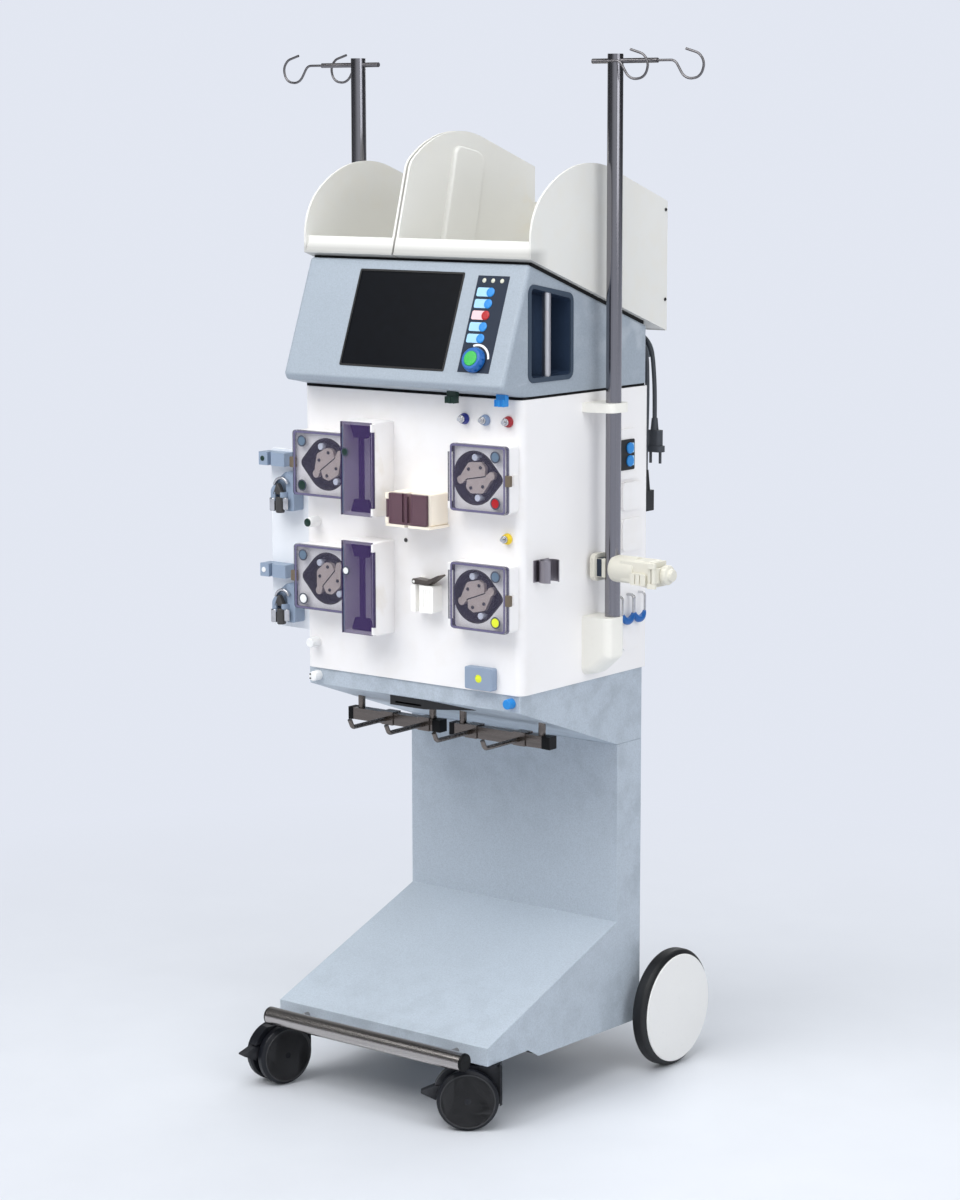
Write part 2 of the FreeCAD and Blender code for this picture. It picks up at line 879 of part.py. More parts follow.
def handle_frames():
    frames = []
    for side in (-1, 1):
        face = side * cabinet_half
        x0, x1 = sorted((face, face + side * 1.5))
        flange = side_prism(grip_outline(0), x0, x1)
        x0, x1 = sorted((face + side * 1, face - side * grip_depth))
        cup = side_prism(grip_outline(-grip_flange + grip_wall), x0, x1)
        x0, x1 = sorted((face + side * 3, face - side * (grip_depth - grip_wall)))
        cavity = side_prism(grip_outline(-grip_flange), x0, x1)
        frames.append(joined([flange, cup]).cut(cavity))
    return group(frames)


def handle_bars():
    bars = []
    height = grip_high_front_z - grip_low_z
    for side in (-1, 1):
        face = side * cabinet_half
        bar = rod((face - side * grip_bar_inset, grip_bar_y, grip_low_z), (0, 0, 1),
                  grip_bar_radius, height)
        x0, x1 = sorted((face, face - side * grip_depth))
        bars.append(bar.common(side_prism(grip_outline(-grip_flange), x0, x1)))
    return group(bars)


# Trays
def tray_seat(y):
    return head_top(y) + tray_gap


def wall_outline(knee, peak):
    # Front edge up to the knee, over the rounded peak and down along the head's fall.
    seat = tray_seat(tray_front_y)
    peak_y = tray_front_y + peak[0]
    peak_z = seat + peak[1]
    return [
        (tray_front_y, seat),
        (tray_front_y + knee[0], seat + knee[1], knee[2]),
        (peak_y, peak_z, peak[2]),
        (tray_rear_y, peak_z - head_fall * (tray_rear_y - peak_y), 3),
        (tray_rear_y, tray_seat(tray_rear_y)),
    ]


def tray(x0, x1, outer_is_low):
    # x0..x1 is the whole tray; the outer wall is the low one and the divider the tall one.
    low_wall, tall_wall = (x0, x1 - tray_wall) if outer_is_low < 0 else (x1 - tray_wall, x0)
    floor = side_prism(
        [
            (tray_front_y, tray_seat(tray_front_y)),
            (tray_rear_y, tray_seat(tray_rear_y)),
            (tray_rear_y, tray_seat(tray_rear_y) + tray_wall),
            (tray_front_y, tray_seat(tray_front_y) + tray_wall),
        ],
        x0,
        x1,
    )
    lip = side_prism(
        [
            (tray_front_y, tray_seat(tray_front_y)),
            (tray_front_y + 16, tray_seat(tray_front_y + 16)),
            (tray_front_y + 16, tray_seat(tray_front_y) + tray_lip, 3),
            (tray_front_y + 7, tray_seat(tray_front_y) + tray_lip, 3),
        ],
        x0,
        x1,
    )
    low_outline = wall_outline(outer_wall_knee, outer_wall_peak)
    back = box(x0, x1, tray_rear_y - tray_wall, tray_rear_y, tray_seat(tray_rear_y),
               low_outline[3][1] - 6)
    low = side_prism(low_outline, low_wall, low_wall + tray_wall)
    tall = side_prism(wall_outline(divider_knee, divider_peak), tall_wall, tall_wall + tray_wall)
    return joined([floor, lip, back, low, tall])


def divider_rib(x0, x1):
    # Raised leaning band on the divider, with softened long edges.
    foot = tray_front_y + rib_run
    low = tray_seat(foot) + tray_wall / 2
    rib = side_prism(
        [
            (foot, low),
            (foot + rib_width, tray_seat(foot + rib_width) + tray_wall / 2),
            (foot + rib_width + rib_lean, low + rib_height - rib_fall, 24),
            (foot + rib_lean, low + rib_height, 16),
        ],
        x0,
        x1,
    )
    return round_edges(rib, rib_thick / 2, lambda edge: edge.CenterOfMass.x > x1 - 0.01
                       and edge.CenterOfMass.z > low + 9)


def right_tray():
    start = tray_split_x + tray_split_gap / 2
    body = tray(start, tray_outer_x, 1)
    return joined([body, divider_rib(start + tray_wall - 1, start + tray_wall + rib_thick)])


def left_tray():
    return tray(-tray_outer_x, tray_split_x - tray_split_gap / 2, -1)


# Poles
def infusion_poles():
    poles = []
    for side in (-1, 1):
        pole = rod((side * pole_x, pole_y, pole_bottom), (0, 0, 1), pole_radius,
                   pole_top - pole_bottom)
        bar_hole = rod((side * pole_x - 20, pole_y, hook_bar_z), (1, 0, 0),
                       hook_bar_radius + 0.1, 40)
        poles.append(pole.cut(bar_hole))
    return group(poles)


def hook_points(shift):
    start = pole_x + hook_bar_outer - (11 if shift else 3)
    points = [(start - shift, hook_bar_z)]
    for run, rise, radius in hook_profile:
        points.append((pole_x + run - shift, hook_bar_z + rise, radius))
    return points


def hook_rack():
    bar = rod((pole_x - hook_bar_inner, pole_y, hook_bar_z), (1, 0, 0), hook_bar_radius,
              hook_bar_inner + hook_bar_outer)
    wire = bent_rod(hook_points(0), lambda p: V(p.x, pole_y, p.y), hook_wire_radius)
    second_y = pole_y - pole_radius - hook_wire_radius - 0.1
    second = bent_rod(hook_points(hook_shift), lambda p: V(p.x, second_y, p.y), hook_wire_radius)
    return [joined([bar, wire]), second]


def pole_hooks():
    right = hook_rack()
    left = []
    for shape in right:
        other = shape.copy()
        other.rotate(V(0, pole_y, 0), V(0, 0, 1), 180)
        left.append(other)
    return group(right + left)


def pole_mounts():
    mounts = []
    far = pole_x + bracket_reach
    for side in (-1, 1):
        plate = plan_prism(
            [
                (cabinet_half, pole_y - 32),
                (far - 4, pole_y - 24, 16),
                (far, pole_y + 24, 16),
                (cabinet_half, pole_y + 32),
            ],
            bracket_low,
            bracket_high,
        )
        plate = plate.cut(rod((pole_x, pole_y, 0), (0, 0, 1), pole_radius + 0.1, 2000))
        block_far = pole_x + socket_reach
        block = front_prism(
            [
                (cabinet_half, socket_high),
                (block_far, socket_high),
                (block_far, socket_low + 32, 10),
                (pole_x - 18, socket_low + 4, 10),
                (cabinet_half, socket_low),
            ],
            pole_y - pole_radius - 18.5,
            pole_y + pole_radius + 4.5,
        )
        block = round_edges(block, 14, on_socket_corner)
        block = block.cut(rod((pole_x, pole_y, pole_bottom), (0, 0, 1), pole_radius + 0.1, 200))
        for shape in (plate, block):
            mounts.append(shape if side > 0 else mirrored_x(shape))
    return group(mounts)


def on_socket_corner(edge):
    # The two upright corners of the socket block that face away from the cabinet.
    middle = edge.CenterOfMass
    upright = edge.BoundBox.XLength < 0.01 and edge.BoundBox.YLength < 0.01
    return upright and middle.x > pole_x + socket_reach - 0.01


# Pumps
pump_names = (
    "upper_right_pump",
    "lower_right_pump",
    "upper_left_pump",
    "lower_left_pump",
)


def pump_centre(name):
    cz = pump_heights["upper" if name.startswith("upper") else "lower"]
    mirror = "left" in name
    return (-pump_x if mirror else pump_x), cz, mirror


def pump_place(shape, name):
    # Pumps are drawn as the right-hand one about X = Z = 0; left ones are mirrored.
    cx, cz, mirror = pump_centre(name)
    placed = mirrored_x(shape) if mirror else shape.copy()
    placed.translate(V(cx, 0, cz))
    return placed


def rotor_place(shape, name):
    # Rotors all turn the same way round, so the left ones are not mirrored.
    cx, cz, mirror = pump_centre(name)
    placed = shape.copy()
    placed.rotate(V(0, 0, 0), V(0, -1, 0), rotor_turn[name])
    placed.translate(V(cx, 0, cz))
    return placed


def teardrop(grow, y0, y1):
    # Round chamber that narrows to a rounded point on the latch side.
    radius = track_radius + grow
    tip_radius = track_tip_radius + grow
    tip_x = track_tip + grow - tip_radius
    turn = math.acos((radius - tip_radius) / tip_x)
    c, s = math.cos(turn), math.sin(turn)
    high = V(radius * c, y0, radius * s)
    tip_high = V(tip_x + tip_radius * c, y0, tip_radius * s)
    tip_low = V(tip_high.x, y0, -tip_high.z)
    low = V(high.x, y0, -high.z)
    edges = [
        Part.LineSegment(high, tip_high).toShape(),
        Part.Arc(tip_high, V(tip_x + tip_radius, y0, 0), tip_low).toShape(),
        Part.LineSegment(tip_low, low).toShape(),
        Part.Arc(low, V(-radius, y0, 0), high).toShape(),
    ]
    return Part.Face(Part.Wire(edges)).extrude(V(0, y1 - y0, 0))


hinge_x = pump_hinge_side - 2.7
hinge_y = -pump_front - 3.0


def pump_housing():
    block = front_prism(
        rectangle(pump_hinge_side, pump_latch_side, -pump_half_height, pump_half_height, pump_corner),
        -pump_front,
        0,
    )
    block = block.cut(teardrop(track_wall + 0.2, -pump_front - 1, -2))
    block = block.cut(disc_y(0, 0, shaft_radius + 2, -3, 1))
    lugs = []
    for sign in (-1, 1):
        z0, z1 = sorted((sign * (hinge_barrel / 2 + 0.4), sign * (pump_half_height - 3)))
        lug = plan_prism(
            [
                (hinge_x - hinge_lug_half, hinge_y - hinge_lug_half, 3),
                (hinge_x + hinge_lug_half, hinge_y - hinge_lug_half, 3),
                (hinge_x + hinge_lug_half, -2),
                (hinge_x - hinge_lug_half, -2, 2),
            ],
            z0,
            z1,
        )
        lugs.append(lug)
    pin = rod((hinge_x, hinge_y, -pump_half_height + 5), (0, 0, 1), hinge_pin_radius,
              2 * pump_half_height - 10)
    catch = box(pump_latch_side - 1, pump_latch_side + 3, -16, -6, -8, 8)
    return joined([block] + lugs + [pin, catch])


def pump_track():
    cup = teardrop(track_wall, -pump_front, -2)
    cup = cup.cut(teardrop(0, -pump_front - 1, -track_floor - 2))
    return cup.cut(disc_y(0, 0, shaft_radius + running_clearance, -99, 1))


def rotor_half():
    # One of the two kidney-shaped carriers with its roller arm.
    front = -pump_front + 2
    size = rotor_reach / 38.0
    points = [
        (-17, -3.4, 2),
        (17.5, 3.0, 2),
        (19.5, 17, 6),
        (10, 25, 6),
        (-14, 24, 8),
        (-26, 8, 5),
        (-33, -2, 4),
        (-27, -9, 4),
    ]
    points = [(x * size, z * size, radius * size) for x, z, radius in points]
    body = front_prism(points, front, front + rotor_thick)
    lobe = disc_y(-30.5 * size, -4.8 * size, 6.5 * size, front, front + rotor_thick)
    body = joined([body, lobe])
    for x, z in ((-14, 13), (9.5, 16.5)):
        body = body.cut(disc_y(x * size, z * size, 2.4, front - 1, front + 3))
    return body


def pump_rotor():
    half = rotor_half()
    other = half.copy()
    other.rotate(V(0, 0, 0), V(0, 1, 0), 180)
    front_plate = -pump_front + 2 + rotor_thick
    plate = disc_y(0, 0, rotor_reach - 7, front_plate, front_plate + 4)
    shaft = disc_y(0, 0, shaft_radius, front_plate, cabinet_wall + 3)
    spindle = disc_y(0, 0, 4, -pump_front + 2, front_plate)
    pieces = [half, other, plate, shaft, spindle]
    for sign in (-1, 1):
        x = sign * -2.7
        z = sign * roller_pitch
        roller = disc_y(x, z, roller_radius, -pump_front + 3, front_plate + 3.4)
        bracket = disc_y(x, z * 0.9, 3, front_plate + 0.5, front_plate + 3.4)
        pieces += [roller, bracket]
    return joined(pieces)


def pump_door():
    front = -pump_front - small_gap
    left = hinge_x + 4.4
    right = pump_latch_side + 2
    half = pump_half_height
    tray_shape = front_prism(rectangle(left, right, -half, half, pump_corner),
                             front - door_rim, front)
    hollow = front_prism(rectangle(left + 3, right - 3, -half + 3, half - 3, pump_corner - 2),
                         front - door_rim + door_thick, front + 1)
    barrel = rod((hinge_x, hinge_y, -hinge_barrel / 2), (0, 0, 1), door_hinge_radius, hinge_barrel)
    web = box(hinge_x, left + 1, front - door_rim + 0.5, front - 1.5, -hinge_barrel / 2,
              hinge_barrel / 2)
    tongue = box(right - 1, right + 6, front - 5, front - 1, -8, 8)
    pieces = [tray_shape.cut(hollow), barrel, web, tongue]
    for dz in (-marker_dz, marker_dz):
        pieces.append(disc_y(marker_dx, dz, marker_radius, front - door_rim - 1.2, front - door_rim + 1))
    door = joined(pieces)
    bore = rod((hinge_x, hinge_y, -99), (0, 0, 1), hinge_pin_radius + pin_clearance, 198)
    return door.cut(bore)


# Plate warmers
warmer_hinge_x = warmer_right - 2.0
warmer_hinge_y = -warmer_front - 3.8


def rounded_lug(x0, x1, front, rear):
    # Plan of a hinge lug, rounded at the front so that the door can swing past it.
    return [(x0, front, 3), (x1, front, 1.5), (x1, rear), (x0, rear)]


def warmer_housing(low):
    high = low + warmer_height
    block = front_prism(rectangle(warmer_left, warmer_right, low, high, 3), -warmer_front, 0)
    cavity = box(warmer_left + warmer_wall, warmer_right - warmer_wall - 3, -warmer_front - 1, -8,
                 low + 6, high - 6)
    middle = (warmer_left + warmer_right) / 2 - 1
    heater = disc_y(middle, low + 10, 15, -24, -8).common(
        box(middle - 20, middle + 20, -30, 0, low + 6, high))
    heater_top = disc_y(middle, high - 10, 15, -24, -8).common(
        box(middle - 20, middle + 20, -30, 0, low, high - 6))
    bar = rod((middle, -16, low + 5), (0, 0, 1), warmer_rod_radius, warmer_height - 10)
    pieces = [block.cut(cavity), heater, heater_top, bar]
    for z0 in (low + 3, high - 15):
        pieces.append(
            plan_prism(rounded_lug(warmer_hinge_x - 3.5, warmer_right, -warmer_front - 7,
                                   -warmer_front + 2), z0, z0 + 12)
        )
    pin = rod((warmer_hinge_x, warmer_hinge_y, low + 5), (0, 0, 1), hinge_pin_radius,
              warmer_height - 10)
    return joined(pieces + [pin])


def warmer_door_shape(low):
    high = low + warmer_height
    front = -warmer_front - small_gap
    hinge_low = low + 15.4
    hinge_high = high - 15.4
    panel = box(warmer_left, warmer_hinge_x - 4, front - warmer_door, front, low + 1, high - 1)
    flange = box(warmer_left, warmer_left + 2, front - warmer_door - 2, front, low + 1, high - 1)
    barrel = rod((warmer_hinge_x, warmer_hinge_y, hinge_low), (0, 0, 1), 3.4, hinge_high - hinge_low)
    web = box(warmer_hinge_x - 5, warmer_hinge_x, front - warmer_door, front - 0.4, hinge_low, hinge_high)
    marker = disc_y(warmer_left + 9, high - 50, 6.5, front - warmer_door - 1.4, front - 1)
    door = joined([panel, flange, barrel, web, marker])
    bore = rod((warmer_hinge_x, warmer_hinge_y, low), (0, 0, 1), hinge_pin_radius + pin_clearance,
               warmer_height)
    return door.cut(bore)


# Leak detector
leak_hinge_x = leak_left + 1.5
leak_hinge_y = -leak_front - 3.2
leak_middle = (leak_left + leak_right) / 2 - 1


def leak_detector_body():
    block = front_prism(rectangle(leak_left + 2, leak_right, leak_low, leak_high, 3), -leak_front, 0)
    ledge = box(leak_left, leak_right + 3, -leak_front - 7, 0, leak_low - 4, leak_low)
    block = joined([block, ledge])
    groove = box(leak_middle - line_groove / 2, leak_middle + line_groove / 2, -leak_front - 1,
                 -leak_front + 12, leak_low - 9, leak_high + 5)
    groove_foot = box(leak_middle - line_groove / 2, leak_middle + line_groove / 2,
                      -leak_front - 9, -leak_front, leak_low - 9, leak_low + 1)
    block = block.cut(groove).cut(groove_foot)
    lugs = []
    for z0 in (leak_low + 1, leak_high - 11):
        lugs.append(
            plan_prism(
                [
                    (leak_left - 3.5, -leak_front - 6.5, 3),
                    (leak_left + 4.9, -leak_front - 6.5, 3.2),
                    (leak_left + 4.9, -leak_front + 4),
                    (leak_left - 3.5, -leak_front + 4),
                ],
                z0,
                z0 + 9,
            )
        )
    pin = rod((leak_hinge_x, leak_hinge_y, leak_low + 2), (0, 0, 1), hinge_pin_radius,
              leak_high - leak_low - 5)
    return joined([block] + lugs + [pin])


def leak_detector_lid():
    front = -leak_front - small_gap
    low = leak_low + 10.6
    high = leak_high - 11.6
    panel = front_prism(rectangle(leak_left + 6, leak_right - 4, leak_low + 0.6, leak_high - 1, 2),
                        front - leak_lid, front)
    recess = box(leak_middle - 9, leak_middle + 9, front - leak_lid - 1, front - 3,
                 leak_low + 4, leak_high + 1)
    rib = box(leak_middle - 2, leak_middle + 2, front - leak_lid - 1.5, front - 2, leak_low + 4,
              leak_high - 5)
    barrel = rod((leak_hinge_x, leak_hinge_y, low), (0, 0, 1), 3, high - low)
    web = box(leak_hinge_x, leak_left + 7, front - 5, front - 1, low, high)
    lid = joined([panel.cut(recess), rib, barrel, web])
    bore = rod((leak_hinge_x, leak_hinge_y, leak_low), (0, 0, 1), hinge_pin_radius + pin_clearance, 60)
    return lid.cut(bore)


# Air detector with the line clamp
air_groove_x = air_left + 14.0
lever_pivot_x = air_left + 6.0
lever_pivot_z = air_high + 5.0


def air_detector_body():
    block = front_prism(rectangle(air_left, air_right, air_low, air_high, 4), -air_front, 0)
    groove = box(air_groove_x - line_groove / 2, air_groove_x + line_groove / 2, -air_front - 1,
                 -air_front + 11, air_low - 1, air_high + 1)
    block = block.cut(groove)
    for row in range(4):
        x = air_left + 26 + 4 * row
        block = block.cut(box(x, x + 1.6, -air_front - 1, -air_front + 1, air_low + 8, air_high - 6))
    post = box(lever_pivot_x - 5, lever_pivot_x + 5, -5, 0, air_high - 1, lever_pivot_z + 5)
    pin = disc_y(lever_pivot_x, lever_pivot_z, hinge_pin_radius, -air_front, 0)
    return joined([block, post, pin])


def air_clamp_lever():
    arm = front_prism(
        [
            (lever_pivot_x - 4, lever_pivot_z - 4, 3.4),
            (lever_pivot_x + 28, lever_pivot_z - 4, 3),
            (lever_pivot_x + 52, lever_pivot_z + 12, 1),
            (lever_pivot_x + 50, lever_pivot_z + 14, 1),
            (lever_pivot_x + 26, lever_pivot_z + 3, 3),
            (lever_pivot_x - 4, lever_pivot_z + 5, 3.4),
        ],
        -air_front + 1,
        -5.4,
    )
    bore = disc_y(lever_pivot_x, lever_pivot_z, hinge_pin_radius + pin_clearance, -99, 1)
    return arm.cut(bore)


# Small fittings on the front
port_rows = cabinet_top - 34.0
pumps_middle = (pump_heights["upper"] + pump_heights["lower"]) / 2
port_places = ((pump_x - 39.7, port_rows), (pump_x + 2.0, port_rows),
               (pump_x + 47.3, port_rows), (pump_x + 45.4, pumps_middle - 1.3))
# Stubs: X, Z, face they stand on, length.
stub_places = (
    (-cabinet_half + 28.0, pumps_middle - 5.0, 0.0, 25.0),
    (-cabinet_half + 25.0, cabinet_bottom + 44.0, 0.0, 20.0),
    (-cabinet_half + 25.0, cabinet_bottom - 13.0, pan_front_y, 17.0),
    (cabinet_half - 22.0, cabinet_bottom - 13.0, pan_front_y, 14.0),
)
stub_radius = 8.5
sensor_width = 54.5
sensor_height = 36.0
sensor_depth = 14.0
tube_clips_x = (pump_x - 45.0, pump_x + 53.0)


def luer_port(x, z):
    return turned(
        [
            (0, 0), (0, 7.5), (4, 7.5, 1), (4, 5), (9, 5), (9, 6.2), (12, 6.2, 1),
            (12, 4), (17, 3.4), (17, 0),
        ],
        (x, 0, z),
        (0, -1, 0),
        (0, 0, 1),
    )


def front_fittings():
    pieces = [luer_port(x, z) for x, z in port_places]
    for x, z, back, length in stub_places:
        pieces.append(
            turned([(0, 0), (0, stub_radius), (length, stub_radius - 0.5, 2), (length, 0)],
                   (x, back, z), (0, -1, 0), (0, 0, 1))
        )
    left = pump_x - 31
    low = cabinet_bottom + 5
    sensor = front_prism(rectangle(left, left + sensor_width, low, low + sensor_height, 3),
                         -sensor_depth, 0)
    sensor = sensor.cut(disc_y(left + sensor_width / 2, low + sensor_height / 2, 6.5,
                               -sensor_depth - 1, -sensor_depth + 1.2))
    pieces.append(sensor)
    pieces.append(disc_y(leak_left - 0.4, leak_low - 32.7, 3.4, -1.2, 0))
    for x in tube_clips_x:
        pieces.append(tube_clip(x))
    return group(pieces)


def tube_clip(x):
    # Open clip for two lines, hung from the sloping underside of the head.
    low = cabinet_top - 8
    body = box(x - 9, x + 9, -34, -20, low, cabinet_top + 30)
    for dx in (-4.6, 4.6):
        body = body.cut(rod((x + dx, -34, low - 1), (0, 0, 1), 3, 12))
    body = body.cut(box(x - 10, x + 10, -35, -29, low + 11, cabinet_top + 31))
    under = side_prism(
        [
            (head_underside_y, cabinet_top + seal_height),
            (head_chin_y, head_chin_z),
            (head_chin_y, panel_top_z),
            (head_underside_y, panel_top_z),
        ],
        x - 20,
        x + 20,
    )
    return body.cut(under)


# Weighing bars
def scale_bars():
    pieces = []
    pan_space = side_prism(
        [
            (pan_front_y, pan_under(pan_front_y)),
            (column_front_y, pan_under(column_front_y)),
            (column_front_y, 900),
            (pan_front_y, 900),
        ],
        -300,
        300,
    )
    for (x0, x1), hooks in zip(scale_ends, scale_hooks_x):
        parts = [
            box(x0, x1, scale_y - scale_bar_depth / 2, scale_y + scale_bar_depth / 2,
                scale_top - scale_bar_height, scale_top)
        ]
        for x in (x0 + scale_post_inset, x1 - scale_post_inset):
            post = rod((x, scale_y, scale_top - 1), (0, 0, 1), scale_post_radius, 60)
            parts.append(post.cut(pan_space))
        for x in hooks:
            front = scale_y - scale_bar_depth / 2
            saddle = box(x - 12, x + 12, front - 2, scale_y + scale_bar_depth / 2 + 2,
                         scale_top - scale_bar_height - 0.5, scale_top + 2)
            hook_z = scale_top - 10
            hook = bent_rod(
                [(scale_y, hook_z), (scale_hook_tip_y + 3, hook_z, 8), (scale_hook_tip_y - 4, hook_z + 14)],
                lambda p, x=x: V(x, p.x, p.y),
                scale_hook_radius,
            )
            parts += [saddle, hook]
        pieces.append(joined(parts))
    return group(pieces)


def card_reader():
    low = pan_lip_bottom - 17
    front = pan_front_y + 3
    slab = plan_prism(
        [(-50, front, 2), (22, front, 4), (95, front + 42, 4), (95, front + 84), (-50, front + 84)],
        low,
        low + 53,
    )
    under = side_prism(
        [
            (pan_front_y - 20, pan_under(pan_front_y - 20)),
            (column_front_y, pan_under(column_front_y)),
            (column_front_y, 900),
            (pan_front_y - 20, 900),
        ],
        -300,
        300,
    )
    slab = slab.cut(under)
    slot = box(-38, 16, front - 4, front + 10, low + 4, low + 7)
    return slab.cut(slot)


# Side parts
clip_radius = 15.0
clip_wall = 1.5
clip_x = cabinet_half + clip_radius + clip_wall
clip_y = 50.0
clip_low = cabinet_top - 289.0
clip_height = 35.0
side_hook_z = cabinet_bottom + 128.0
side_hook_out = 13.0
side_hook_drop = 40.0
side_hook_half = 15.0
side_hooks_y = (cabinet_depth - 71.5, cabinet_depth - 38.5)
side_hook_wire = 2.0


def spring_clip():
    # Three quarters of a sprung ring, open away from the cabinet, on a flat foot.
    low = clip_low
    outer = rod((clip_x, clip_y, low), (0, 0, 1), clip_radius + clip_wall, clip_height)
    mouth = plan_prism([(clip_x, clip_y), (clip_x + 40, clip_y - 40), (clip_x + 40, clip_y + 40)],
                       low - 1, low + clip_height + 1)
    ring = outer.cut(mouth)
    foot = box(cabinet_half, cabinet_half + clip_wall, clip_y - clip_radius - 5,
               clip_y + clip_radius + 5, low, low + clip_height)
    bore = rod((clip_x, clip_y, low - 1), (0, 0, 1), clip_radius, clip_height + 2)
    return joined([ring, foot]).cut(bore)


def wire_hook(y):
    # Hanging U of wire whose two legs bend back into the cabinet side.
    out = cabinet_half + side_hook_out
    low = side_hook_z - side_hook_drop
    half = side_hook_half
    bow = bent_rod([(y - half, side_hook_z - 12), (y - half, low, half - 0.5),
                    (y + half, low, half - 0.5), (y + half, side_hook_z - 12)],
                   lambda p: V(out, p.x, p.y), side_hook_wire)
    pieces = [bow]
    for leg in (y - half, y + half):
        pieces.append(bent_rod([(cabinet_half, side_hook_z), (out, side_hook_z, 6),
                                (out, side_hook_z - 12)],
                               lambda p, leg=leg: V(p.x, leg, p.y), side_hook_wire))
    return joined(pieces)


def side_clips():
    return group([spring_clip()] + [wire_hook(y) for y in side_hooks_y])


key_panel_front = cabinet_depth - 87.5
key_panel_width = 40.0
key_panel_low = cabinet_top - 133.0
key_panel_height = 50.0


def side_key_panel():
    face = cabinet_half + side_pad_height
    sheet = side_prism(
        rectangle(key_panel_front, key_panel_front + key_panel_width, key_panel_low,
                  key_panel_low + key_panel_height, 3),
        face,
        face + 1.5,
    )
    keys = [sheet]
    for share in (-10.5, 10.5):
        keys.append(rod((face + 1, key_panel_front + key_panel_width - 14,
                         key_panel_low + key_panel_height / 2 + share), (1, 0, 0), 8.5, 1.6))
    return joined(keys)


plate_front_y = 10.0
plate_reach = 82.0
plate_left_x = -cabinet_half - plate_reach
plate_low = cabinet_bottom + 60.0
plate_high = plate_low + 300.0
guide_tops = (pump_heights["upper"] + 10.0, pump_heights["lower"] + 11.0)


def left_accessory_plate():
    plate = front_prism(
        [
            (plate_left_x, plate_low, 8),
            (-cabinet_half, plate_low),
            (-cabinet_half, plate_high),
            (plate_left_x, plate_high, 8),
        ],
        plate_front_y,
        plate_front_y + 6,
    )
    flange = box(-cabinet_half - 4, -cabinet_half, plate_front_y, plate_front_y + 40,
                 plate_low + 8, plate_high - 8)
    rim = box(plate_left_x, plate_left_x + 4, plate_front_y + 2, plate_front_y + 14,
              plate_low + 10, plate_high - 10)
    return joined([plate, flange, rim])


def left_tube_guides():
    guides = []
    left = plate_left_x
    axis_x = left + 45
    for top in guide_tops:
        block = box(left - 4, left + 52, -16, plate_front_y, top - 22, top)
        block = block.cut(box(left + 15, left + 23, -17, -8, top - 23, top + 1))
        body = front_prism([(left + 20, top - 95, 4), (left + 71, top - 95, 4),
                            (left + 71, top - 36, 10), (axis_x, top - 30, 12),
                            (left + 20, top - 62, 12)],
                           -14, plate_front_y)
        channel = rod((axis_x, -14, top - 110), (0, 0, 1), 9, 120)
        clamp = rod((axis_x, -14, top - 78), (0, 0, 1), 13, 14)
        clamp = clamp.cut(rod((axis_x, -14, top - 110), (0, 0, 1), 9.5, 120))
        clamp = clamp.common(box(left, left + 99, -40, plate_front_y - 1, top - 99, top))
        clamp = clamp.cut(box(axis_x - 6, axis_x + 6, -40, -14, top - 99, top))
        guides += [block, joined([body.cut(channel), clamp])]
    return group(guides)


# Filter holder on the right pole: C-shaped pole clamp, round hub, arm and hinged jaw
holder_z = cabinet_top - 281.0
hub_radius = 22.0
hub_start = pole_x + 2.5
hub_length = 50.0
clamp_back = pole_x - 31.0
arm_half = 19.0
arm_height = 46.0
arm_end = pole_x + 92.0
jaw_x = arm_end + 3.0
jaw_pin_y = pole_y - 22.0
jaw_half_height = 17.0


def filter_holder():
    # Hub with a rounded near end, drawn along X.
    hub = turned(
        [(0, 0), (0, hub_radius, 6), (hub_length, hub_radius, 2), (hub_length, 0)],
        (hub_start, pole_y, holder_z),
        (1, 0, 0),
        (0, 0, 1),
    )
    back = side_prism(rectangle(pole_y - 20, pole_y + 20, holder_z - 22, holder_z + 22, 10),
                      clamp_back, clamp_back + 9)
    pad = box(clamp_back + 8, pole_x - 6, pole_y - 13, pole_y + 13, holder_z - 15, holder_z + 15)
    bridge = box(clamp_back, hub_start + 30, pole_y + pole_radius + 2, pole_y + 20,
                 holder_z - 15, holder_z + 15)
    arm = front_prism(
        [
            (hub_start + 24, holder_z - 17, 3),
            (arm_end - 6, holder_z - arm_height / 2 - 2, 4),
            (arm_end - 6, holder_z + arm_height / 2 - 4, 4),
            (hub_start + 24, holder_z + 19, 3),
        ],
        pole_y - arm_half,
        pole_y + arm_half,
    )
    arm = round_edges(arm, 4, lambda edge: edge.Length > 40 and edge.BoundBox.YLength < 0.01)
    grip = front_prism(rectangle(arm_end - 42, arm_end - 12, holder_z - 20, holder_z - 1, 4),
                       pole_y - arm_half - 5, pole_y - arm_half + 4)
    for rib in (0, 1):
        x = arm_end - 33 + 9 * rib
        grip = grip.cut(box(x, x + 2, pole_y - arm_half - 6, pole_y - arm_half - 3,
                            holder_z - 18, holder_z - 3))
    end = box(arm_end - 8, arm_end - 3, jaw_pin_y, pole_y + 22, holder_z - 23, holder_z + 17)
    lugs = []
    for z0 in (holder_z - 23, holder_z + 9):
        lugs.append(
            plan_prism(
                [
                    (arm_end - 8, jaw_pin_y - 4, 2),
                    (jaw_x + 4, jaw_pin_y - 4, 3),
                    (jaw_x + 4, jaw_pin_y + 4, 3),
                    (arm_end - 8, jaw_pin_y + 4),
                ],
                z0,
                z0 + 8,
            )
        )
    pin = rod((jaw_x, jaw_pin_y, holder_z - 22), (0, 0, 1), hinge_pin_radius, 38)
    holder = joined([hub, back, pad, bridge, arm, grip, end, pin] + lugs)
    return holder.cut(rod((pole_x, pole_y, holder_z - 99), (0, 0, 1), pole_radius + pin_clearance, 198))


